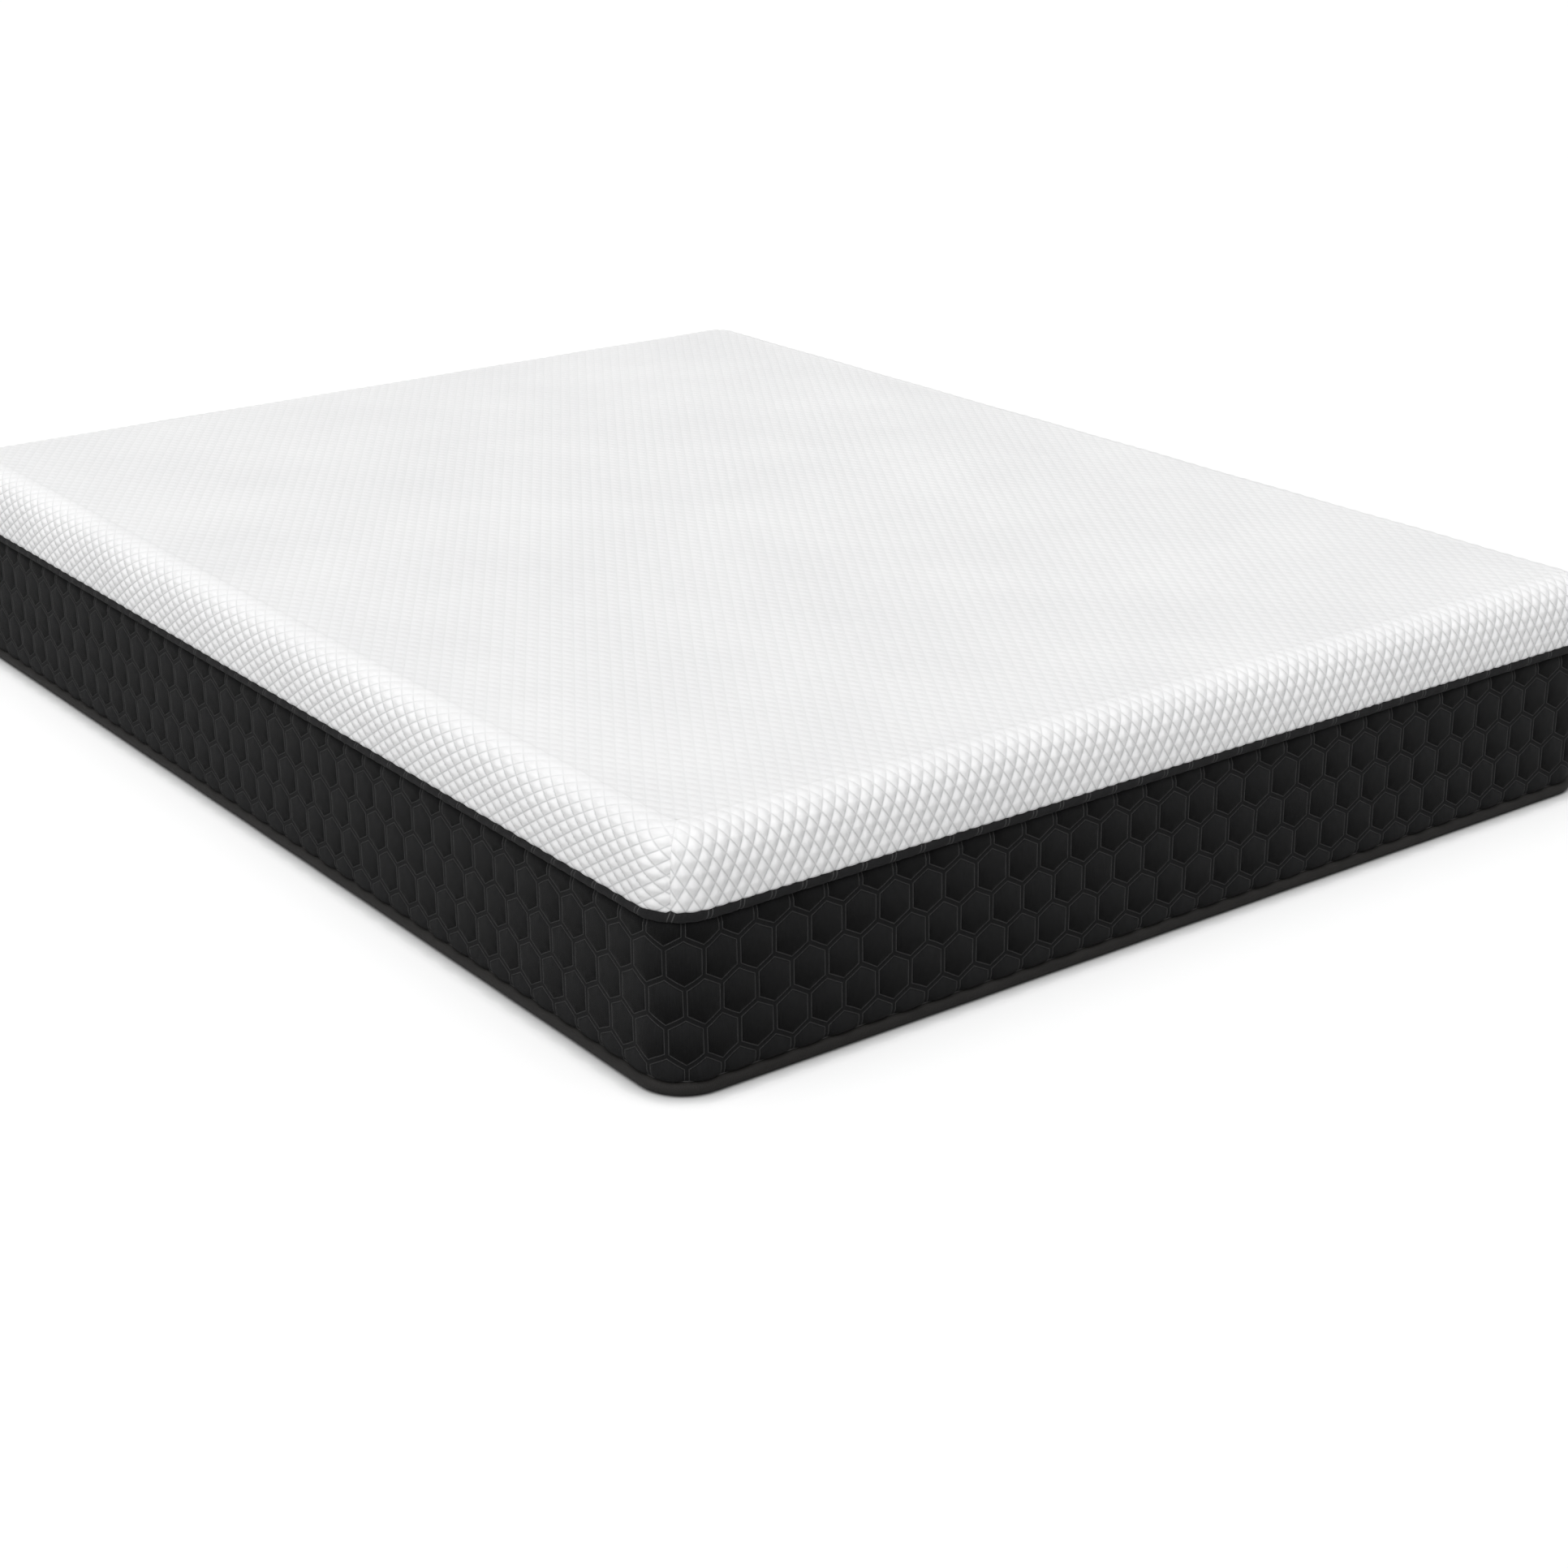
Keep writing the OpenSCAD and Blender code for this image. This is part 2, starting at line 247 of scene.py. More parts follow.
# %% [markdown]
# ## Meshes from arrays
# The quilting is made of many small regular faces, so the meshes are built from arrays
# of points. Each one also stores where its cloth lay before it was sewn, in metres, as a
# UV map called "cloth", so that weave and knit keep their size and direction.

# %% Build a mesh from arrays
def cloth_mesh(name, points, faces, cloth=None, marks=None, smooth=True):
    """points (n, 3), faces (m, 3 or 4), cloth (n, 2) or (m, corners, 2), marks {name: n}."""
    faces = np.asarray(faces, np.int32)
    sides = faces.shape[1]
    mesh = bpy.data.meshes.new(name)
    mesh.vertices.add(len(points))
    mesh.vertices.foreach_set("co", np.asarray(points, np.float32).ravel())
    mesh.loops.add(faces.size)
    mesh.loops.foreach_set("vertex_index", faces.ravel())
    mesh.polygons.add(len(faces))
    mesh.polygons.foreach_set("loop_start", np.arange(0, faces.size, sides, dtype=np.int32))
    mesh.polygons.foreach_set("use_smooth", np.full(len(faces), smooth))
    mesh.update(calc_edges=True)
    if cloth is not None:
        layer = mesh.uv_layers.new(name="cloth")
        cloth = np.asarray(cloth, np.float32)
        corners_uv = cloth if cloth.ndim == 3 else cloth[faces]      # per face corner or per point
        layer.data.foreach_set("uv", corners_uv.ravel())
    for mark, values in (marks or {}).items():
        attribute = mesh.attributes.new(mark, "FLOAT", "POINT")
        attribute.data.foreach_set("value", np.asarray(values, np.float32).ravel())
    mesh.validate()
    piece = bpy.data.objects.new(name, mesh)
    bpy.context.scene.collection.objects.link(piece)
    print(name, len(points), "points", len(faces), "faces")
    return piece


def grid_faces(rows, columns, round_rows=False, round_columns=False):
    """Quads over a grid of points. round_ closes it in that direction."""
    r = np.arange(rows if round_rows else rows - 1)
    c = np.arange(columns if round_columns else columns - 1)
    r, c = (a.ravel() for a in np.meshgrid(r, c, indexing="ij"))
    r1, c1 = (r + 1) % rows, (c + 1) % columns
    return np.stack([r * columns + c, r * columns + c1, r1 * columns + c1, r1 * columns + c], axis=1)


def join(parts):
    """Joins (points, faces, cloth, ...) lists of arrays into one, moving the face numbers."""
    start, points, faces, rest = 0, [], [], []
    for part in parts:
        points.append(part[0])
        faces.append(part[1] + start)
        rest.append(part[2:])
        start += len(part[0])
    return [np.concatenate(points), np.concatenate(faces)] + [np.concatenate(r) for r in zip(*rest)]


def edge_wall(rows, columns):
    """Quads that close the rim between a grid of points and a second grid that follows it."""
    index = np.arange(rows * columns).reshape(rows, columns)
    ring = np.concatenate([index[0, :-1], index[:-1, -1], index[-1, :0:-1], index[:0:-1, 0]])
    following = np.roll(ring, -1)
    return np.stack([ring, following, following + index.size, ring + index.size], 1)


def round_corners(x, y, half_x, half_y, r):
    """Draws the square corners of a grid of points in to round ones."""
    px = (np.abs(x) - (half_x - r)) / r
    py = (np.abs(y) - (half_y - r)) / r
    cornered = (px > 0) & (py > 0)
    fx = np.where(cornered, px * np.sqrt(np.clip(1 - py ** 2 / 2, 0, None)), px)
    fy = np.where(cornered, py * np.sqrt(np.clip(1 - px ** 2 / 2, 0, None)), py)
    return np.sign(x) * (half_x - r + fx * r), np.sign(y) * (half_y - r + fy * r)


def tube_cloth(flat, faces, r):
    """Cloth places per face corner of a tube round the bed, unbroken where a face crosses the join."""
    uv = flat[faces]
    for axis, lap in ((1, 2 * math.pi * r), (0, loop_l)):
        crosses = uv[..., axis].max(1) - uv[..., axis].min(1) > lap / 2
        uv[..., axis] += np.where(crosses[:, None] & (uv[..., axis] < lap / 2), lap, 0)
    return uv


# %% [markdown]
# ## Blowing up one quilted cell
# A quilted cell is flat cloth held down along its outline, with filling that pushes it out.
# Blender's cloth solver gives that pillow shape: the outline is pinned, a pressure lifts
# the rest, and a little spare cloth lets small puckers form. One cell is simulated large,
# a few times with a different start, and its shape is then used for every cell.

# %% Simulate a small pillow
def inflate(points, faces, pinned, pressure, spare, seed, frames=24):
    """The simulated points of a flat patch in the XY plane, about a metre across."""
    rng = np.random.default_rng(seed)
    start = np.array(points, float)
    start[:, 2] += np.where(pinned, 0, rng.uniform(0, 0.004, len(start)))
    patch = new_object("patch", [tuple(p) for p in start], [tuple(f) for f in faces])
    group = patch.vertex_groups.new(name="held")
    group.add([int(i) for i in np.flatnonzero(pinned)], 1.0, "REPLACE")
    cloth = patch.modifiers.new("cloth", "CLOTH")
    cloth.settings.quality = 6
    cloth.settings.mass = 0.3
    cloth.settings.tension_stiffness = 18
    cloth.settings.compression_stiffness = 18
    cloth.settings.bending_stiffness = 0.15
    cloth.settings.vertex_group_mass = "held"
    cloth.settings.use_pressure = True
    cloth.settings.uniform_pressure_force = pressure
    cloth.settings.shrink_min = -spare
    cloth.settings.effector_weights.gravity = 0
    cloth.point_cache.frame_end = frames
    for step in range(1, frames + 1):
        bpy.context.scene.frame_set(step)
    settled = patch.evaluated_get(bpy.context.evaluated_depsgraph_get())
    result = np.array([v.co for v in settled.data.vertices])
    bpy.context.scene.frame_set(1)
    mesh = patch.data
    bpy.data.objects.remove(patch)
    bpy.data.meshes.remove(mesh)
    return result


# %% [markdown]
# ## The honeycomb cell
# Each cell is an upright hexagon with a flat band round it. A thin raised lip follows
# the outline, with a crease on each side of it where the quilting thread pulls the cloth
# down. The cell is drawn as rings round its centre, so every crease is a line of edges.

# %% Rings of one cell
cells_round = 148
cell_w = loop_l / cells_round
rows = 5
row_step = (border_high.z - border_low.z - 1.6 * MM) / (rows - 1)
shoulder = cell_w / 2 * math.tan(math.radians(29.5))   # height that a slanted side gains
half_side = (row_step - shoulder) / 2                  # half of an upright side

ring_share = np.array([1.0, 0.95, 0.915, 0.89, 0.865, 0.84, 0.79, 0.71, 0.60, 0.45, 0.28, 0.12])
ring_lift = np.array([0.0, 0.05, -0.35, 0.75, -0.55, 0.0]) * MM     # the band and the lip
# Painted highlight: how much each ring's colour is lightened, most on the raised lip.
lip_highlight_mark = np.array([0, 0, 0.1, 1.0, 0.2, 0, 0, 0, 0, 0, 0, 0])
held_rings = 5
spokes = 24

corners = np.array([(cell_w / 2, 0), (cell_w / 2, half_side), (0, half_side + shoulder),
                    (-cell_w / 2, half_side), (-cell_w / 2, 0), (-cell_w / 2, -half_side),
                    (0, -half_side - shoulder), (cell_w / 2, -half_side), (cell_w / 2, 0)])
pieces_of_side = [2, 4, 4, 2, 2, 4, 4, 2]
outline = np.concatenate([np.linspace(corners[i], corners[i + 1], n, endpoint=False)
                          for i, n in enumerate(pieces_of_side)])
cell_flat = np.concatenate([outline * share for share in ring_share] + [np.zeros((1, 2))])
ring_faces = grid_faces(len(ring_share), spokes, round_columns=True)
middle = len(cell_flat) - 1
last = (len(ring_share) - 1) * spokes
cap_faces = np.array([(last + i, last + (i + 1) % spokes, last + (i + 2) % spokes, middle)
                      for i in range(0, spokes, 2)])
cell_faces = np.concatenate([ring_faces, cap_faces])
print("cell", round(cell_w * 1000, 1), "mm wide, rows", round(row_step * 1000, 1), "mm apart")

# %% Blow the cell up three times
puff_h = 2.9 * MM
sim_scale = 20
held = np.zeros(len(cell_flat), bool)
held[:held_rings * spokes] = True


def puffed_cell(seed):
    """Shift (along, up, out) of each point of the cell, from its flat place."""
    flat = np.column_stack([cell_flat * sim_scale, np.zeros(len(cell_flat))])
    shape = (inflate(flat, cell_faces, held, 2.5, 0.035, seed) - flat) / sim_scale
    shape *= puff_h / max(shape[:, 2].max(), 1e-6)
    shape[:, :2] = np.clip(shape[:, :2], -0.6 * MM, 0.6 * MM)
    shape[:len(ring_lift) * spokes, 2] += np.repeat(ring_lift, spokes)
    return shape


cell_shapes = [puffed_cell(seed) for seed in (3, 11, 29)]
for shape in cell_shapes:
    print("puff", round(float(shape[:, 2].max()) * 1000, 2), "mm, mean",
          round(float(shape[:, 2].mean()) * 1000, 2), "mm")

# %% [markdown]
# ## Putting the cells round the border
# Every other row sits half a cell along, like a brick wall. The first and last rows are cut
# in half by the piping, where the cloth turns in and is sewn. No two cells are quite alike:
# each has its own fullness and a slight lean, and the quilting lines wander by a fraction
# of a millimetre, as they do when a multi-needle machine feeds soft cloth. The strip also
# creeps by up to 15 mm as it is sewn on round the bed.

# %% Lay out the quilting
rng = np.random.default_rng(17)
turn_in = 3.2 * MM            # height over which the cloth turns in behind the piping


def wander(along, up):
    """Small smooth shifts that meet again after one lap of the bed."""
    lap = 2 * math.pi * along / loop_l
    shift = 0.30 * np.sin(61 * lap + 31 * up) + 0.22 * np.sin(143 * lap - 47 * up)
    rise = 0.28 * np.sin(73 * lap + 11) + 0.2 * np.sin(211 * lap + 60 * up)
    return shift * MM, rise * MM


def quilt_rows():
    parts = []
    for row in range(rows):
        centre_z = border_high.z - row * row_step
        for k in range(cells_round):
            shape = cell_shapes[rng.integers(3)].copy()
            full = rng.uniform(0.86, 1.12)
            lean = rng.uniform(-0.12, 0.12, 2)
            out = shape[:, 2].copy()
            inner = slice(held_rings * spokes, None)
            tilt = 1 + cell_flat[inner] @ lean / cell_w
            out[inner] *= full * tilt
            along = (k + 0.5 * (row % 2 == 0)) * cell_w + (cell_flat[:, 0] + shape[:, 0])
            up = centre_z + cell_flat[:, 1] + shape[:, 1]
            lip_highlights = np.append(np.repeat(lip_highlight_mark, spokes), 0)
            # Painted shade: inside each cell this mark rises towards the top and one side. The colour is
            # lighter there and darker at the bottom, the way overhead light falls on the puff.
            painted_cell_shade = 0.5 + np.where(np.arange(len(lip_highlights)) < held_rings * spokes, 0.02,
                                 0.50 * cell_flat[:, 1] / (half_side + shoulder)
                                 + 0.10 * cell_flat[:, 0] / (cell_w / 2) - 0.06)
            marks = np.column_stack([lip_highlights, painted_cell_shade])
            flat = np.column_stack([along, up])
            parts.append((np.column_stack([along, up, out]), cell_faces, flat, marks))
    return join(parts)


quilt, quilt_faces, quilt_cloth, quilt_marks = quilt_rows()
shift, rise = wander(quilt[:, 0], quilt[:, 1])
feed = np.mod(quilt[:, 0] + 30 * MM, loop_l)
creep = np.interp(feed, [0, 90 * MM, loop_l], [15 * MM, 8 * MM, 15 * MM])
quilt[:, 0] += shift + creep
quilt[:, 1] += rise
print("cells:", rows * cells_round, "points:", len(quilt))

# %% [markdown]
# ## The closing seam and the turned edges
# The border is one long strip, so its ends meet in an upright seam, here on a side that
# faces away. The seam pulls the filling flat. Along the top and bottom the cloth dips in
# behind the piping, which is what makes the dark line under each row of piping.

# %% Sew the strip shut and turn its edges in
seam_low, seam_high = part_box("border_closing_seam")
seam_along = float(arc_l / 2 + 2 * run_x + arc_l + (seam_low.y + seam_high.y) / 2 + run_y)
seam_pull = np.exp(-((quilt[:, 0] - seam_along) / (5 * MM)) ** 2)
over_top = np.clip((quilt[:, 1] - (border_high.z - 3.5 * MM)) / turn_in, 0, None)
under_end = np.clip((border_low.z + 5 * MM - quilt[:, 1]) / turn_in, 0, None)
lift = quilt[:, 2] * (1 - 0.95 * seam_pull)
sink = 2.2 * MM * np.minimum(over_top, 3) ** 1.5 + 2.2 * MM * np.minimum(under_end, 3) ** 1.5
height = np.clip(quilt[:, 1], border_low.z - 2 * MM, border_high.z + 3 * MM)
border_points = walk(quilt[:, 0], border_depth - lift + sink, height)

inside = ((quilt[:, 1] < border_high.z + 4 * MM) & (quilt[:, 1] > border_low.z - 3 * MM))
kept = inside[quilt_faces].any(axis=1)
quilt_faces = quilt_faces[kept]
whole, where = np.unique(np.round(border_points / (0.02 * MM)).astype(np.int64), axis=0,
                         return_inverse=True)[0:2]
where = np.asarray(where).ravel()
first = np.zeros(len(whole), np.int64)
first[where] = np.arange(len(where))
border = cloth_mesh("border", border_points[first], where[quilt_faces],
                    quilt_cloth[quilt_faces], {"lip": quilt_marks[first, 0], "painted_cell_shade": quilt_marks[first, 1]})

# %% [markdown]
# ## The opening for the zip
# On the far side the quilting is cut in a long straight slot, and each cut edge is folded
# over into a narrow rolled hem. The slot is cut exactly, by slicing the cells, and the hem
# is a thin roll that covers the raw edge.

# %% Cut the slot
tape_low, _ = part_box("zip_tape_lower")
_, tape_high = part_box("zip_tape_upper")
fold = 5 * MM
slot_x = tape_high.x + 1.2 * MM
slot_low, slot_high = tape_low.z + fold, tape_high.z - fold


def cut_slot(piece):
    work = bmesh.new()
    work.from_mesh(piece.data)
    near = [f for f in work.faces if f.calc_center_median().y > half_l - 20 * MM
            and abs(f.calc_center_median().x) < slot_x + 40 * MM
            and f.calc_center_median().z < slot_high + 30 * MM]
    for point, normal in (((0, 0, slot_low), (0, 0, 1)), ((0, 0, slot_high), (0, 0, 1)),
                          ((-slot_x, 0, 0), (1, 0, 0)), ((slot_x, 0, 0), (1, 0, 0))):
        near = [f for f in near if f.is_valid]
        edges = list(dict.fromkeys(e for f in near for e in f.edges))
        points = list(dict.fromkeys(v for f in near for v in f.verts))
        result = bmesh.ops.bisect_plane(work, geom=near + edges + points, dist=1e-6,
                                        plane_co=point, plane_no=normal)
        near = [g for g in result["geom"] if isinstance(g, bmesh.types.BMFace)]
    gone = [f for f in near if f.is_valid and abs(f.calc_center_median().x) < slot_x
            and slot_low < f.calc_center_median().z < slot_high]
    bmesh.ops.delete(work, geom=gone, context="FACES")
    work.to_mesh(piece.data)
    work.free()
    print("slot cut:", len(gone), "faces removed")


cut_slot(border)


# %% [markdown]
# ## Rolls and cords
# A roll is a round or shaped section carried along a path. The hems, the piping, the
# seams and the coils are all made this way. Each section may change along its way, which
# gives the piping its gathered lines and the hems their small unevenness.

# %% Sweep a section along a path
def sweep(path, out, section, closed=False, radius=None, cap=True):
    """Points and faces of a section (m, 2) carried along path (n, 3). out (n, 3) is its first axis."""
    path = np.asarray(path, float)
    ahead = np.roll(path, -1, 0) - np.roll(path, 1, 0)
    if not closed:
        ahead[0], ahead[-1] = path[1] - path[0], path[-1] - path[-2]
    ahead /= np.linalg.norm(ahead, axis=1, keepdims=True)
    out = np.broadcast_to(out, path.shape)
    out = out - ahead * (out * ahead).sum(1, keepdims=True)
    out /= np.linalg.norm(out, axis=1, keepdims=True)
    across = np.cross(ahead, out)
    scale = np.ones(len(path)) if radius is None else np.asarray(radius)
    points = (path[:, None] + scale[:, None, None] * (section[None, :, 0, None] * out[:, None]
              + section[None, :, 1, None] * across[:, None])).reshape(-1, 3)
    faces = grid_faces(len(path), len(section), round_rows=closed, round_columns=True)
    if not closed and cap:
        points = np.concatenate([points, path[:1], path[-1:]])
        n, m = len(path), len(section)
        ring = np.arange(m)
        start = np.stack([np.full(m, n * m), np.roll(ring, -1), ring, ring], 1)
        end_ring = (n - 1) * m + ring
        end = np.stack([np.full(m, n * m + 1), end_ring, np.roll(end_ring, -1), np.roll(end_ring, -1)], 1)
        faces = np.concatenate([faces, start, end])
    return points, faces


def circle(radius, count):
    turn = np.linspace(0, 2 * math.pi, count, endpoint=False)
    return np.column_stack([np.cos(turn), np.sin(turn)]) * radius


# %% [markdown]
# ## Stitches
# A lock stitch shows as a row of short threads that dip into the cloth at each end. Each
# one is a small bent capsule. They are made along a path, on the side that faces out, so
# a seam reads as sewn and not as a drawn line.

# %% Sew a row of stitches
def stitches(name, path, out, stitch_l, gap, thread_d, sink_in=0.6, slant=0.0):
    path = np.asarray(path, float)
    out = np.broadcast_to(out, path.shape)
    steps = np.linalg.norm(np.diff(path, axis=0), axis=1)
    at = np.concatenate([[0], np.cumsum(steps)])
    count = max(1, int((at[-1] + gap) // (stitch_l + gap)))
    parts = []
    share = np.linspace(0, 1, 7)
    bow = 1 - (2 * share - 1) ** 4
    thickness = 0.45 + 0.55 * np.sqrt(np.clip(1 - (2 * share - 1) ** 6, 0, 1))
    for i in range(count):
        along = i * (stitch_l + gap) + share * stitch_l
        place = np.column_stack([np.interp(along, at, path[:, j]) for j in range(3)])
        facing = np.column_stack([np.interp(along, at, out[:, j]) for j in range(3)])
        ahead = place[-1] - place[0]
        sideways = np.cross(ahead, facing[3])
        sideways /= max(np.linalg.norm(sideways), 1e-9)
        place = place + facing * ((bow - 1) * sink_in * thread_d)[:, None]
        place = place + sideways * ((share - 0.5) * slant * stitch_l)[:, None]
        points, faces = sweep(place, facing, circle(thread_d / 2, 6), radius=thickness)
        along_and_ends = np.append(along, [along[0], along[-1]])
        number = np.arange(len(points))
        cloth = np.column_stack([along_and_ends[np.minimum(number // 6, 8)], number % 6 * thread_d / 2])
        parts.append((points, faces, cloth))
    points, faces, cloth = join(parts)
    return cloth_mesh(name, points, faces, cloth)


# %% [markdown]
# ## The hem of the slot
# The folded edge is a soft roll about three millimetres thick, a little uneven, with one
# line of topstitching beside it.

# %% Roll the hem
def round_slot(low, high, half, corner, step):
    """Places (x, z) round a slot with rounded corners."""
    places = []
    for cx, cz, start in ((half - corner, high - corner, 0), (-half + corner, high - corner, 90),
                          (-half + corner, low + corner, 180), (half - corner, low + corner, 270)):
        for turn in np.radians(np.linspace(start, start + 90, 7)):
            places.append((cx + corner * math.cos(turn), cz + corner * math.sin(turn)))
    places = np.array(places + places[:1])
    lengths = np.concatenate([[0], np.cumsum(np.linalg.norm(np.diff(places, axis=0), axis=1))])
    at = np.linspace(0, lengths[-1], int(lengths[-1] / step), endpoint=False)
    return np.column_stack([np.interp(at, lengths, places[:, 0]), np.interp(at, lengths, places[:, 1])]), at


hem_xz, hem_at = round_slot(slot_low, slot_high, slot_x, 3 * MM, 3 * MM)
hem_y = border_high.y + 0.35 * MM * np.sin(hem_at * 41) * np.sin(hem_at * 17)
hem_path = np.column_stack([hem_xz[:, 0], hem_y, hem_xz[:, 1]])
hem_section = circle(1.5 * MM, 10) * (1.1, 1.25)
hem_points, hem_faces = sweep(hem_path, np.array([0.0, 1.0, 0.0]), hem_section, closed=True,
                              radius=1 + 0.08 * np.sin(hem_at * 130) * np.sin(hem_at * 37))
hem_uv = np.column_stack([np.repeat(hem_at, 10), np.tile(np.arange(10) * 0.9 * MM, len(hem_at))])
zip_hem = cloth_mesh("zip_hem", hem_points, hem_faces, hem_uv)

beside = 3.2 * MM             # from the cut edge to the line of stitches
thread_xz, _ = round_slot(slot_low - beside, slot_high + beside, slot_x + beside, 4 * MM, 3 * MM)
thread_xz = np.concatenate([thread_xz, thread_xz[:1]])
thread_y = np.full(len(thread_xz), border_high.y + 1.3 * MM)
thread_path = np.column_stack([thread_xz[:, 0], thread_y, thread_xz[:, 1]])
hem_stitching = stitches("hem_stitching", thread_path, np.array([0.0, 1.0, 0.0]),
                         3.0 * MM, 0.9 * MM, 0.7 * MM)

# %% [markdown]
# ## The closing seam
# A line of dark lock stitches runs down the flattened cells where the ends of the strip meet.

# %% Sew the closing seam
seam_z = np.linspace(seam_low.z + 2 * MM, seam_high.z - 2 * MM, 60)
seam_path = walk(np.full(60, seam_along), border_depth - 0.5 * MM, seam_z)
closing_seam = stitches("border_closing_stitches", seam_path, np.array([1.0, 0.0, 0.0]),
                        3.2 * MM, 0.8 * MM, 1.0 * MM)

# %% [markdown]
# ## One raised diamond of the knit
# The white cover is a thick double knit. Two layers are linked along crossing lines, and
# the yarn between them makes each diamond stand up. One diamond is blown up by the cloth
# solver in the same way as the quilted cell, and its height is then read for every diamond.

# %% Blow up one diamond
across_n = 82                                    # diamonds across the width of the top
along_n = 70                                     # diamonds along the length
rim = 48 * MM                                    # how far in from the side the top panel starts
panel_w = half_w - rim
panel_l = half_l - rim
diamond_x = 2 * panel_w / across_n
diamond_y = 2 * panel_l / along_n
diamond_h = 2.3 * MM
fine = 17


def puffed_diamond():
    u, v = np.meshgrid(np.linspace(0, 1, fine), np.linspace(0, 1, fine), indexing="ij")
    flat = np.column_stack([((u + v - 1) * diamond_x / 2).ravel() * 50,
                            ((u - v) * diamond_y / 2).ravel() * 50, np.zeros(fine * fine)])
    edge = ((u == 0) | (u == 1) | (v == 0) | (v == 1)).ravel()
    shape = inflate(flat, grid_faces(fine, fine), edge, 5.0, 0.10, 5)
    lifted = shape[:, 2].reshape(fine, fine)
    lifted = (lifted + lifted.T + lifted[::-1, ::-1] + lifted.T[::-1, ::-1]) / 4
    return np.clip(lifted / lifted.max(), 0, None) ** 1.1


diamond = puffed_diamond()
print("diamonds:", round(diamond_x * 1000, 1), "by", round(diamond_y * 1000, 1), "mm")


def diamond_lift(a, b):
    """Height (0 to 1) of the knit at a, b, counted in diamonds across and along."""
    u = np.mod(a + b, 1) * (fine - 1)
    v = np.mod(a - b, 1) * (fine - 1)
    i = np.minimum(u.astype(int), fine - 2)
    j = np.minimum(v.astype(int), fine - 2)
    fu, fv = u - i, v - j
    return ((1 - fu) * (1 - fv) * diamond[i, j] + fu * (1 - fv) * diamond[i + 1, j]
            + (1 - fu) * fv * diamond[i, j + 1] + fu * fv * diamond[i + 1, j + 1])


# %% [markdown]
# ## The side of the cover, seen from its end
# The cover rises nearly straight from the piping, then turns over in one wide soft curve.
# Foam has no hard edge, so the curve starts low and is still falling a little where the
# top panel begins. At the bottom the cloth turns under onto the piping.

# %% Draw the section of the side
share = np.linspace(0, 1, 200)[:, None]
piping_top = upper_high.z
bend = np.array([(2.0, 0.0), (1.2, 57.5), (14.5, 84.6), (48.0, 85.4)]) * MM
curve = ((1 - share) ** 3 * bend[0] + 3 * (1 - share) ** 2 * share * bend[1]
         + 3 * (1 - share) * share ** 2 * bend[2] + share ** 3 * bend[3])
curve[:, 1] += piping_top
turn = np.radians(np.linspace(-75, 0, 8))[:, None]
hem_r = 2.2 * MM
hem_curve = np.hstack([curve[0, 0] + hem_r - hem_r * np.cos(turn), curve[0, 1] + hem_r * np.sin(turn)])
tuck = np.array([[7.5 * MM, piping_top - 0.4 * MM], [4.6 * MM, piping_top - 1.2 * MM]])
profile = np.concatenate([tuck, hem_curve[:-1], curve])
profile_at = np.concatenate([[0], np.cumsum(np.linalg.norm(np.diff(profile, axis=0), axis=1))])
side_l = float(profile_at[-1])                    # cloth from the tuck to the top panel
profile_rows = int(side_l / (2.6 * MM))
at = np.linspace(0, side_l, profile_rows)
profile_d = np.interp(at, profile_at, profile[:, 0])
profile_z = np.interp(at, profile_at, profile[:, 1])
slope = np.gradient(np.column_stack([profile_d, profile_z]), axis=0)
slope /= np.linalg.norm(slope, axis=1, keepdims=True)
face_out, face_up = slope[:, 1], slope[:, 0]      # outward and upward parts of the cloth's normal
print("side of the cover:", round(side_l * 1000), "mm of cloth in", profile_rows, "rows")

# %% [markdown]
# ## Four flaps and a top, cut in one piece
# The pattern runs unbroken from the top over each side, because top and sides are one
# piece of cloth. Only the corners are cut and sewn, at forty-five degrees, so there the
# diamonds of two sides meet along a crease.

# %% Hang the four sides
columns_each = 6            # columns of faces in one diamond


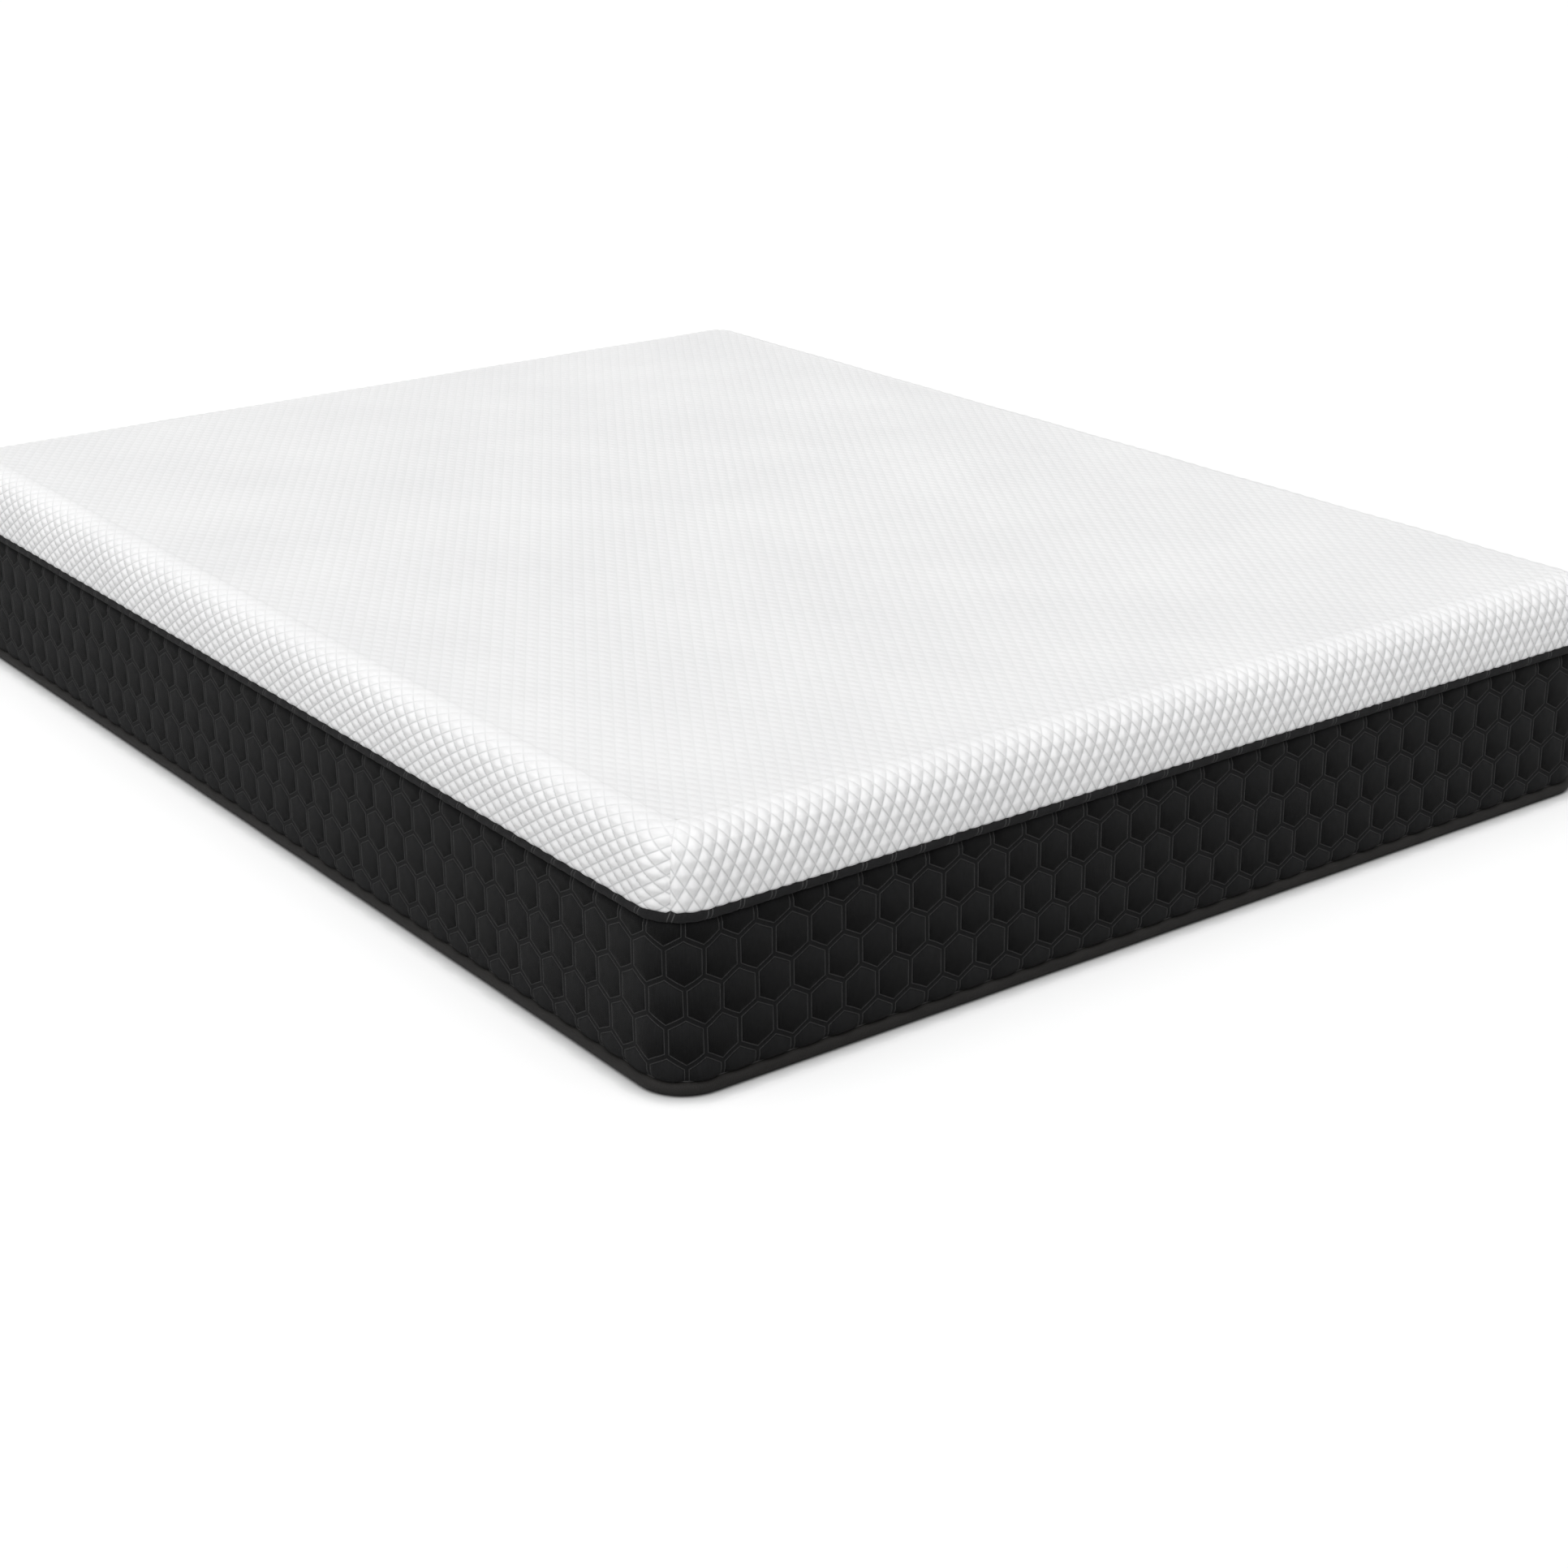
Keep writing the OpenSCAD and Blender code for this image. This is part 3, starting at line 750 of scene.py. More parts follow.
def flap(start, half, per_side, per_down, along_x, sign):
    """One side, from corner seam to corner seam. start is where it begins on the loop."""
    middle = start + arc_l / 2 + half
    reach_s = half + arc_l / 2
    count = int(round(2 * reach_s / per_side * columns_each)) + 1
    s_offset = np.linspace(-reach_s, reach_s, count)
    d = np.append(profile_d, profile_d[-1] + 4 * MM)        # the last row is tucked under the top
    z = np.append(profile_z, profile_z[-1] - 1.6 * MM)
    out = np.append(face_out, 0)
    up = np.append(face_up, 0)
    down = np.append(side_l - at, -4 * MM)
    S, D = np.meshgrid(s_offset, d)
    Z, OUT, UP, DOWN = (np.meshgrid(s_offset, column)[1] for column in (z, out, up, down))
    past = np.clip(np.abs(S) - half, 0, None)
    plain = np.sign(S) * (np.minimum(np.abs(S), half) + past * (corner_r - D) / arc_r)
    lift = diamond_lift(plain / per_side + (across_n / 2 if along_x else along_n / 2), DOWN / per_down)
    to_seam = (reach_s - np.abs(S)) * (corner_r - D) / arc_r
    crease = np.exp(-(to_seam / (3.2 * MM)) ** 2)
    fade = np.clip((DOWN + 4 * MM) / (30 * MM), 0.25, 1)
    at_hem = np.clip((side_l - 4 * MM - DOWN) / (9 * MM), 0.35, 1)
    taut = np.clip(0.12 + 0.88 * (DOWN - 8 * MM) / (38 * MM), 0.12, 1)
    height_here = diamond_h * (0.30 + 0.80 * taut) * at_hem * lift * (1 - 0.75 * crease)
    height_here -= 1.9 * MM * crease * fade
    height_here[-1] = 0
    slack = 0.5 * MM * np.sin(plain * 9.1 + 2 * sign) * np.sin(DOWN * 31)
    slack += 0.35 * MM * np.sin(plain * 23 - DOWN * 40)
    slack *= np.clip(DOWN / (20 * MM), 0, 1)
    slack *= np.clip((side_l - DOWN) / (15 * MM), 0, 1)
    height_here += slack * (1 - crease)
    points = walk(middle + S, D - height_here * OUT, Z + height_here * UP)
    cloth = np.stack([plain, -DOWN - (panel_l if along_x else panel_w)], axis=-1)
    if not along_x:
        cloth = cloth[..., ::-1]
    return points.reshape(-1, 3), grid_faces(len(d), count), cloth.reshape(-1, 2), taut.ravel()


starts = [0, arc_l + 2 * run_x, 2 * arc_l + 2 * run_x + 2 * run_y, 3 * arc_l + 4 * run_x + 2 * run_y]
near_side = flap(starts[0], run_x, diamond_x, diamond_y, True, 1)
right_side = flap(starts[1], run_y, diamond_y, diamond_x, False, 1)
far_side = flap(starts[2], run_x, diamond_x, diamond_y, True, -1)
left_side = flap(starts[3], run_y, diamond_y, diamond_x, False, -1)

# %% [markdown]
# ## The top panel
# The panel is a grid that follows the diamonds, so every linking line falls on an edge.
# It rises a little towards the middle. Its square corners are drawn in to the small curve
# that the sides leave at the top of each corner.

# %% Lay the top panel
per_diamond = 6
nx, ny = across_n * per_diamond + 1, along_n * per_diamond + 1
gx, gy = np.meshgrid(np.linspace(-panel_w, panel_w, nx), np.linspace(-panel_l, panel_l, ny))
small_r = corner_r - rim
x, y = round_corners(gx, gy, panel_w, panel_l, small_r)
inward = np.minimum(panel_w - np.abs(gx), panel_l - np.abs(gy))
crown = 2.0 * MM * (1 - np.exp(-inward / (90 * MM)))
lie = 0.5 * MM * np.sin(gx * 7.3 + 1) * np.sin(gy * 5.1 + 2) + 0.3 * MM * np.sin(gx * 17 - gy * 11)
lift = diamond_h * diamond_lift(gx / diamond_x + across_n / 2, gy / diamond_y + along_n / 2)
z = profile[-1, 1] + crown + 0.35 * lift + lie * np.clip(inward / (60 * MM), 0, 1)
panel = (np.stack([x, y, z], axis=-1).reshape(-1, 3), grid_faces(ny, nx),
         np.stack([gx, gy], axis=-1).reshape(-1, 2), np.full(nx * ny, 0.12))
points, faces, cloth, taut = join([near_side, right_side, far_side, left_side, panel])
top = cloth_mesh("top", points, faces, cloth, {"taut": taut})

# %% [markdown]
# ## Corner seams
# White thread closes each corner from the piping up to where the cover turns onto the
# top. It is pulled down into the crease.

# %% Sew the corners
seam_rows = (at > 6 * MM) & (at < side_l - 22 * MM)
corner_seams = {}
for name, place_s, facing in (("corner_stitches_near_left", 0, (-1, -1)),
                              ("corner_stitches_near_right", starts[1], (1, -1)),
                              ("corner_stitches_far_right", starts[2], (1, 1)),
                              ("corner_stitches_far_left", starts[3], (-1, 1))):
    sunk = 1.7 * MM
    d = profile_d[seam_rows] + sunk * face_out[seam_rows]
    z = profile_z[seam_rows] - sunk * face_up[seam_rows]
    path = walk(np.full(d.shape, place_s), d, z)
    flat_out = np.array(facing) / math.sqrt(2)
    out = np.column_stack([face_out[seam_rows] * flat_out[0], face_out[seam_rows] * flat_out[1],
                           face_up[seam_rows]])
    corner_seams[name] = stitches(name, path, out, 3.4 * MM, 0.9 * MM, 1.0 * MM)

# %% [markdown]
# ## The upper piping
# The upper piping is a cord wrapped in the same black cloth. The raised lines of the
# quilting cross it in pairs, a little slanted, and the cloth gathers slightly between
# them. Each cross section is a circle with small ridges where the lines pass.

# %% Wrap the upper piping
def wrapped_cord(name, low, high, pitch, spacing, ridge, slant, gather):
    r = (high - low) / 2
    laps = int(round(loop_l / pitch))
    pitch = loop_l / laps
    near_line = np.array([-1.5, -0.9, -0.5, 0, 0.5, 0.9, 1.5]) * MM
    stations = np.concatenate([spacing / 2 + near_line, -spacing / 2 + near_line,
                               np.linspace(spacing / 2 + 3.5 * MM, pitch - spacing / 2 - 3.5 * MM, 8)])
    stations = np.sort(np.mod(stations, pitch))
    s = (np.arange(laps)[:, None] * pitch + stations[None, :]).ravel()
    round_n = 22
    turn = np.linspace(0, 2 * math.pi, round_n, endpoint=False)
    S, T = np.meshgrid(s, turn, indexing="ij")
    local = np.mod(S + pitch / 2, pitch) - pitch / 2
    line = np.exp(-((np.abs(local) - spacing / 2) / (0.55 * MM)) ** 2)
    dip = -0.5 * np.exp(-((np.abs(local) - spacing / 2) / (1.6 * MM)) ** 2)
    between = np.clip((np.abs(local) - spacing / 2) / (pitch / 2 - spacing / 2), 0, 1)
    puff = np.cos(math.pi * between - math.pi / 2)
    wave = np.sin(S * 47 + 3 * np.sin(T)) * np.sin(S * 19 + T) + 0.5 * np.sin(S * 230 + 2 * T)
    radius = r + ridge * (line + dip) + gather * (0.8 * puff - 0.5) + 0.25 * gather * wave
    along = S + slant * r * np.sin(T) * np.sign(np.cos(T) + 1.2)
    points = walk(along, r - radius * np.cos(T), (low + high) / 2 + radius * np.sin(T))
    faces = grid_faces(len(s), round_n, round_rows=True, round_columns=True)
    cloth = tube_cloth(np.stack([S, T * r], axis=-1).reshape(-1, 2), faces, r)
    # Painted highlight: the quilting lines across the piping are marked for a lighter colour.
    return cloth_mesh(name, points.reshape(-1, 3), faces, cloth, {"lip": line.ravel()})


upper = wrapped_cord("upper_piping_cover", upper_low.z, upper_high.z, 41 * MM, 5.2 * MM,
                     0.5 * MM, 0.35, 0.7 * MM)

# %% [markdown]
# ## The lower piping
# The lower piping is wrapped in a tightly ribbed tape that is a shade warmer and lighter.
# The bed's weight presses it flat where it meets the floor.

# %% Wrap the lower piping
lower_r = lower_d / 2
lower_s = np.linspace(0, loop_l, int(loop_l / (6 * MM)), endpoint=False)
lower_t = np.linspace(0, 2 * math.pi, 28, endpoint=False)
S, T = np.meshgrid(lower_s, lower_t, indexing="ij")
radius = lower_r - 0.25 * MM + 0.22 * MM * np.sin(S * 33 + np.sin(S * 5)) * np.sin(T + S * 3)
height = lower_r + radius * np.sin(T)
height = np.maximum(height, 0.35 * MM)
points = walk(S, lower_r - radius * np.cos(T), height)
faces = grid_faces(len(lower_s), len(lower_t), round_rows=True, round_columns=True)
cloth = tube_cloth(np.stack([S, T * lower_r], axis=-1).reshape(-1, 2), faces, lower_r)
lower = cloth_mesh("lower_piping_cover", points.reshape(-1, 3), faces, cloth)

# %% [markdown]
# ## The underside
# The base is a thin, tough felted cloth, sewn to the lower piping all round. It is drawn
# in a little at the stitches and hangs slack by a hair between them. It stays just off
# the floor, because the piping carries the edge.

# %% Lay the base cloth
base_low, base_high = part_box("base_panel")
bx = np.linspace(base_low.x, base_high.x, 150)
by = np.linspace(base_low.y, base_high.y, 200)
gx, gy = np.meshgrid(bx, by)
base_r = corner_r - lower_d
x, y = round_corners(gx, gy, base_high.x, base_high.y, base_r)
inward = np.minimum(base_high.x - np.abs(gx), base_high.y - np.abs(gy))
pucker = 0.5 * MM * np.exp(-inward / (25 * MM)) * (1 + np.sin(gx * 140) * np.sin(gy * 140))
z = 0.6 * MM + pucker + 0.25 * MM * (1 + np.sin(gx * 9 + 1) * np.sin(gy * 8))
under = np.stack([x, y, z], axis=-1).reshape(-1, 3)
over = under + (0, 0, 1.2 * MM)
grid = grid_faces(*gx.shape)
flat = np.stack([gx, gy], axis=-1).reshape(-1, 2)
base = cloth_mesh("base_cloth", np.concatenate([under, over]),
                  np.concatenate([grid[:, ::-1], grid + len(under), edge_wall(*gx.shape)]),
                  np.concatenate([flat, flat]))

# %% [markdown]
# ## The zip
# Two coils of nylon line run along woven tapes and mesh with each other. Each coil is a
# real helix, flattened a little where it is stitched down. The tape's edges disappear
# under the hems. The slider and its pull are the CAD solids, since they carry the motion.

# %% Wind the coils
def coil(name, low, high, hand, phase, pitch=2.6 * MM, wire=0.95 * MM):
    turns = int((high.x - low.x - wire) / pitch)
    per_turn = 12
    angle = np.arange(turns * per_turn + 1) * 2 * math.pi / per_turn
    path_x = low.x + wire / 2 + pitch * angle / (2 * math.pi) + phase * pitch
    r_y = (high.y - low.y - wire) / 2
    r_z = (high.z - low.z - wire) / 2
    middle_y, middle_z = (low.y + high.y) / 2, (low.z + high.z) / 2
    squarish = np.sign(np.cos(angle)) * np.abs(np.cos(angle)) ** 0.8
    path = np.column_stack([path_x, middle_y + r_y * squarish, middle_z + hand * r_z * np.sin(angle)])
    out = np.column_stack([np.zeros(len(angle)), np.cos(angle), hand * np.sin(angle)])
    points, faces = sweep(path, out, circle(wire / 2, 6))
    cloth = np.column_stack([points[:, 0], points[:, 2]])
    return cloth_mesh(name, points, faces, cloth)


coil_upper = coil("coil_upper", *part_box("zip_coil_upper"), 1, 0)
coil_lower = coil("coil_lower", *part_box("zip_coil_lower"), -1, 0)


# %% Weave the tapes
def tape(name, low, high, near_low_edge):
    columns = int((high.x - low.x) / (4 * MM))
    x = np.linspace(low.x, high.x, columns)
    rows_z = np.linspace(low.z, high.z, 11)
    bead_z = low.z + 2.2 * MM if near_low_edge else high.z - 2.2 * MM
    bulge = 0.35 * MM * np.exp(-(((rows_z - bead_z) / (1.0 * MM)) ** 2))
    X, Z = np.meshgrid(x, rows_z)
    ripple = 0.12 * MM * np.sin(X * 90) * np.sin(X * 23 + Z * 300)
    front = np.stack([X, high.y - 0.25 * MM + ripple + bulge[:, None], Z], -1).reshape(-1, 3)
    back = front.copy()
    back[:, 1] = low.y + 0.1 * MM
    grid = grid_faces(len(rows_z), columns)
    wall = edge_wall(len(rows_z), columns)
    flat = np.column_stack([X.ravel(), Z.ravel()])
    return cloth_mesh(name, np.concatenate([front, back]),
                      np.concatenate([grid[:, ::-1], grid + len(front), wall[:, ::-1]]),
                      np.concatenate([flat, flat]))


tape_upper = tape("tape_upper", *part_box("zip_tape_upper"), True)
tape_lower = tape("tape_lower", *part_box("zip_tape_lower"), False)

# %% [markdown]
# ## The care label
# A small blank label of satin tape hangs from the seam under the upper piping, on a side
# that faces away. It carries no printing. It lies over the quilting with a soft wave.

# %% Hang the label
label_low, label_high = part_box("care_label")
label_w, label_l = label_high.y - label_low.y, label_high.z - label_low.z
label_rows, label_columns = 36, 26
ly, lz = np.meshgrid(np.linspace(0, 1, label_columns), np.linspace(0, 1, label_rows))
rest_x = border_high.x + 3.9 * MM
lean_out = 1.2 * MM * np.sin(lz * math.pi) * (0.6 + 0.4 * np.sin(ly * 4 + 1)) + 0.8 * MM * (lz ** 2) * ly
hang_x = np.where(lz < 0.08, label_low.x + (rest_x - label_low.x) * np.sin(lz / 0.08 * math.pi / 2), rest_x)
front = np.stack([hang_x + lean_out, label_low.y + ly * label_w, label_high.z - lz * label_l * 0.985],
                 axis=-1).reshape(-1, 3)
grid = grid_faces(label_rows, label_columns)
wall = edge_wall(label_rows, label_columns)
back = front - (0.25 * MM, 0, 0)
flat = np.stack([ly * label_w, lz * label_l], axis=-1).reshape(-1, 2)
label = cloth_mesh("label", np.concatenate([front, back]),
                   np.concatenate([grid[:, ::-1], grid + len(front), wall[:, ::-1]]),
                   np.concatenate([flat, flat]))

# %% [markdown]
# ## The wadding under the cover
# A layer of soft fibre wadding fills the space between the cover and the sock, so it has
# the same rounded section as the cover.

# %% Fill under the cover
wad_in = 3.4 * MM
wad_d = profile_d + wad_in * face_out
wad_z = profile_z - wad_in * face_up
faces_out = (face_out > 0.5) & (wad_z > piping_top + 0.6 * MM)
wad_rows = faces_out | (face_up > 0.3)      # the turned-in hem below faces down and has no fill
wad_d, wad_z = wad_d[wad_rows], wad_z[wad_rows]
deep = 11 * MM
inner_d = np.maximum(wad_d + deep * face_out[wad_rows], 0)
inner_z = wad_z - deep * face_up[wad_rows]
section_d = np.concatenate([wad_d, inner_d[::-1]])
section_z = np.concatenate([wad_z, inner_z[::-1]])
bends = [corner + way * arc_l / 2 for corner in starts[1:] for way in (-1, 1)]
ends = [0, arc_l / 2, *bends, loop_l - arc_l / 2, loop_l]
counts = (8, 60, 16, 80, 16, 60, 16, 80, 8)
wad_s = np.concatenate([np.linspace(a, b, n, endpoint=False)
                        for a, b, n in zip(ends[:-1], ends[1:], counts)])
S, D = np.meshgrid(wad_s, section_d, indexing="ij")
_, Z = np.meshgrid(wad_s, section_z, indexing="ij")
edge_points = walk(S, np.minimum(D, corner_r - 1 * MM), Z).reshape(-1, 3)
edge_faces = grid_faces(len(wad_s), len(section_d), round_rows=True, round_columns=True)
flat = np.stack([S, np.broadcast_to(np.arange(len(section_d)) * 2.6 * MM, S.shape)], -1).reshape(-1, 2)
rim_x, rim_y = panel_w + 2 * MM, panel_l + 2 * MM
fill_rows, fill_columns = 80, 60
wx, wy = np.meshgrid(np.linspace(-rim_x, rim_x, fill_columns), np.linspace(-rim_y, rim_y, fill_rows))
fluff = 0.3 * MM * np.sin(wx * 31) * np.sin(wy * 27)
level = float(wad_z[-1]) - 0.6 * MM
sheet_over = np.stack([wx, wy, level + fluff], -1).reshape(-1, 3)
sheet_under = sheet_over - (0, 0, deep - 1.5 * MM)
grid = grid_faces(fill_rows, fill_columns)
wall = edge_wall(fill_rows, fill_columns)
sheet_uv = np.stack([wx, wy], -1).reshape(-1, 2)
sheet = (np.concatenate([sheet_over, sheet_under]),
         np.concatenate([grid, grid[:, ::-1] + len(sheet_over), wall[:, ::-1]]),
         np.concatenate([sheet_uv, sheet_uv]))
points, faces, cloth = join([(edge_points, edge_faces, flat), sheet])
wadding = cloth_mesh("wadding", points, faces, cloth)

# %% [markdown]
# ## Shared surface effects
# Several finishes need the same few effects, so each effect is a node group with named
# sockets. Woven thread gives a fine crossing of warp and weft. Brushed streaks run down
# the black cloth. Blotches are the large soft changes of tone that keep cloth from
# looking printed. The groups give masks and heights. The materials mix the colours.

# %% Node helpers
class Graph:
    """A node tree with short ways to add a node and to link its inputs."""

    def __init__(self, tree):
        self.tree = tree

    def feed(self, socket, value):
        """Links a socket to another node's output, or sets it to a constant."""
        if isinstance(value, bpy.types.NodeSocket):
            self.tree.links.new(value, socket)
        else:
            socket.default_value = value

    def add(self, kind, links=None, **settings):
        node = self.tree.nodes.new(kind)
        for key, value in settings.items():
            setattr(node, key, value)
        for key, value in (links or {}).items():
            self.feed(node.inputs[key], value)
        return node

    def math(self, operation, a, b=0.0, c=0.0):
        return self.add("ShaderNodeMath", {0: a, 1: b, 2: c}, operation=operation).outputs[0]

    def scaled(self, vector, sizes):
        node = self.add("ShaderNodeVectorMath", {0: vector, 1: sizes}, operation="MULTIPLY")
        return node.outputs[0]

    def noise(self, vector, scale, detail=2.0, roughness=0.5):
        node = self.add("ShaderNodeTexNoise", {"Vector": vector, "Scale": scale, "Detail": detail,
                                               "Roughness": roughness})
        return node.outputs["Fac"]

    def ramp(self, value, low, high, to_low=0.0, to_high=1.0):
        node = self.add("ShaderNodeMapRange", {"Value": value, "From Min": low, "From Max": high,
                                               "To Min": to_low, "To Max": to_high})
        return node.outputs["Result"]

    def mix(self, factor, a, b):
        return self.add("ShaderNodeMix", {0: factor, 6: a, 7: b}, data_type="RGBA").outputs[2]


def new_group(name, inputs, outputs):
    tree = bpy.data.node_groups.new(name, "ShaderNodeTree")
    for label_text, kind, default in inputs:
        socket = tree.interface.new_socket(name=label_text, in_out="INPUT", socket_type=kind)
        if default is not None:
            socket.default_value = default
    for label_text, kind in outputs:
        tree.interface.new_socket(name=label_text, in_out="OUTPUT", socket_type=kind)
    graph = Graph(tree)
    return graph, graph.add("NodeGroupInput"), graph.add("NodeGroupOutput")


def finish_group(graph, out, values):
    for label_text, value in values.items():
        graph.tree.links.new(value, out.inputs[label_text])


# %% Woven thread
def make_weave():
    graph, given, out = new_group("woven_thread", [("Place", "NodeSocketVector", None),
                                                   ("Thread size", "NodeSocketFloat", 0.0008)],
                                  [("Height", "NodeSocketFloat"), ("Tone", "NodeSocketFloat")])
    per_metre = graph.math("DIVIDE", math.pi, given.outputs["Thread size"])
    split = graph.add("ShaderNodeSeparateXYZ", {0: given.outputs["Place"]})
    uneven = graph.noise(given.outputs["Place"], 700, 1)
    bend = graph.math("MULTIPLY", graph.math("SUBTRACT", uneven, 0.5), 1.6)
    warp = graph.math("SINE", graph.math("ADD", graph.math("MULTIPLY", split.outputs[0], per_metre), bend))
    weft = graph.math("SINE", graph.math("ADD", graph.math("MULTIPLY", split.outputs[1], per_metre), bend))
    crossing = graph.math("MULTIPLY", warp, weft)
    height = graph.math("MULTIPLY_ADD", crossing, 0.5, 0.5)
    slub = graph.noise(graph.scaled(given.outputs["Place"], (900, 90, 1)), 1, 2)
    tone = graph.math("MULTIPLY_ADD", slub, 0.7, graph.math("MULTIPLY", height, 0.3))
    finish_group(graph, out, {"Height": height, "Tone": tone})
    return graph.tree


# %% Brushed streaks
def make_streaks():
    graph, given, out = new_group("brushed_streaks", [("Place", "NodeSocketVector", None)],
                                  [("Mask", "NodeSocketFloat")])
    long = graph.noise(graph.scaled(given.outputs["Place"], (650, 45, 1)), 1, 3, 0.6)
    short = graph.noise(graph.scaled(given.outputs["Place"], (1500, 240, 1)), 1, 2, 0.6)
    both = graph.math("MULTIPLY_ADD", long, 0.6, graph.math("MULTIPLY", short, 0.4))
    finish_group(graph, out, {"Mask": graph.ramp(both, 0.38, 0.64)})
    return graph.tree


# %% Soft blotches
def make_blotches():
    graph, given, out = new_group("soft_blotches", [("Place", "NodeSocketVector", None),
                                                    ("Size", "NodeSocketFloat", 0.1)],
                                  [("Mask", "NodeSocketFloat")])
    scale = graph.math("DIVIDE", 1.0, given.outputs["Size"])
    node = graph.add("ShaderNodeTexNoise", {"Vector": given.outputs["Place"], "Scale": scale,
                                            "Detail": 3.0})
    finish_group(graph, out, {"Mask": graph.ramp(node.outputs["Fac"], 0.3, 0.7)})
    return graph.tree


# %% Knitted courses
def make_courses():
    graph, given, out = new_group("knitted_courses", [("Place", "NodeSocketVector", None),
                                                      ("Loop size", "NodeSocketFloat", 0.0011)],
                                  [("Height", "NodeSocketFloat"), ("Fuzz", "NodeSocketFloat")])
    per_metre = graph.math("DIVIDE", 2 * math.pi, given.outputs["Loop size"])
    split = graph.add("ShaderNodeSeparateXYZ", {0: given.outputs["Place"]})
    wale = graph.math("SINE", graph.math("MULTIPLY", split.outputs[0], per_metre))
    lean_in = graph.math("MULTIPLY", graph.math("ABSOLUTE", wale), 1.4)
    up = graph.math("MULTIPLY", split.outputs[1], per_metre)
    course = graph.math("SINE", graph.math("ADD", up, lean_in))
    crossing = graph.math("MULTIPLY", graph.math("ABSOLUTE", wale), course)
    loops = graph.math("MULTIPLY_ADD", crossing, 0.5, 0.5)
    fuzz = graph.noise(given.outputs["Place"], 2600, 3, 0.7)
    finish_group(graph, out, {"Height": loops, "Fuzz": fuzz})
    return graph.tree


weave, streaks, blotches, courses = make_weave(), make_streaks(), make_blotches(), make_courses()


# %% [markdown]
# ## Materials
# Each material starts from the same skeleton: a place on the cloth in metres, a tone that
# varies between a dark and a light colour, a roughness that varies with it, and a height
# for the bump. Fibres scatter light, so the cloths are rough, have little gloss, and get
# a soft sheen at grazing angles.

# %% The skeleton of a finish
def place_socket(graph, on_cloth):
    if on_cloth:
        return graph.add("ShaderNodeUVMap", uv_map="cloth").outputs["UV"]
    return graph.add("ShaderNodeTexCoord").outputs["Object"]


def use(graph, group, **links):
    named = {key.replace("_", " "): value for key, value in links.items()}
    return graph.add("ShaderNodeGroup", named, node_tree=group).outputs


def finish_material(name, build, on_cloth=True, gloss=0.25, sheen=0.0, metallic=0.0):
    """build(graph, place) gives (colour, roughness, height, depth of the bump in metres)."""
    material = bpy.data.materials.new(name)
    material.use_nodes = True
    graph = Graph(material.node_tree)
    shader = material.node_tree.nodes["Principled BSDF"]
    colour, roughness, height, depth = build(graph, place_socket(graph, on_cloth))
    bump = graph.add("ShaderNodeBump", {"Height": height, "Distance": depth, "Strength": 1.0})
    graph.feed(shader.inputs["Base Color"], colour)
    graph.feed(shader.inputs["Roughness"], roughness)
    graph.tree.links.new(bump.outputs["Normal"], shader.inputs["Normal"])
    shader.inputs["Specular IOR Level"].default_value = gloss
    shader.inputs["Sheen Weight"].default_value = sheen
    shader.inputs["Sheen Roughness"].default_value = 0.5
    shader.inputs["Metallic"].default_value = metallic
    return material


# %% [markdown]
# ### The black cloths
# The quilted border is a brushed, linen-like weave of near-black polyester. The lip of
# each quilting line carries a painted highlight: its colour is mixed towards a light
# grey. Inside each cell, painted shade makes the upper part lighter and the lower part
# darker, the way overhead light falls. The piping is cut from the same cloth.

# %% Black border cloth
def black_cloth(dark, light, lip_highlight_tone, lip_highlight_amount, painted_shade_amount):
    def build(graph, place):
        thread = use(graph, weave, Place=place, Thread_size=0.0009)
        brush = use(graph, streaks, Place=place)["Mask"]
        patch = use(graph, blotches, Place=place, Size=0.06)["Mask"]
        tone = graph.math("MULTIPLY_ADD", brush, 0.5, graph.math("MULTIPLY", patch, 0.14))
        tone = graph.math("MULTIPLY_ADD", thread["Tone"], 0.26, tone)
        # Painted shade: the cell mark lightens the colour at the top of each cell and darkens it at the
        # bottom.
        painted_cell_shade = graph.add("ShaderNodeAttribute", attribute_name="painted_cell_shade").outputs["Fac"]
        painted_shade = graph.math("MULTIPLY", graph.math("SUBTRACT", painted_cell_shade, 0.5), painted_shade_amount)
        colour = graph.mix(graph.math("ADD", tone, painted_shade), dark, light)
        # Painted highlight: along the lip the colour is mixed towards a light grey.
        lip = graph.add("ShaderNodeAttribute", attribute_name="lip").outputs["Fac"]
        speckle = graph.ramp(graph.noise(place, 1500, 2), 0.3, 0.65, 0.4, 1.0)
        colour = graph.mix(graph.math("MULTIPLY", graph.math("MULTIPLY", lip, lip_highlight_amount), speckle),
                           colour, lip_highlight_tone)
        rough = graph.ramp(brush, 0, 1, 0.72, 0.9)
        height = graph.math("MULTIPLY_ADD", brush, 0.5, thread["Height"])
        return colour, rough, height, 0.0003
    return build


lip_highlight_grey = (0.13, 0.13, 0.13, 1)
border_cloth = black_cloth((0.0010, 0.0010, 0.0011, 1), (0.0150, 0.0152, 0.0158, 1), lip_highlight_grey, 0.66, 1.25)
piping_cloth = black_cloth((0.004, 0.004, 0.0044, 1), (0.026, 0.026, 0.027, 1), lip_highlight_grey, 0.8, 0.0)
border_black = finish_material("border_black", border_cloth, gloss=0.12, sheen=0.03)
piping_black = finish_material("piping_black", piping_cloth, gloss=0.15, sheen=0.03)


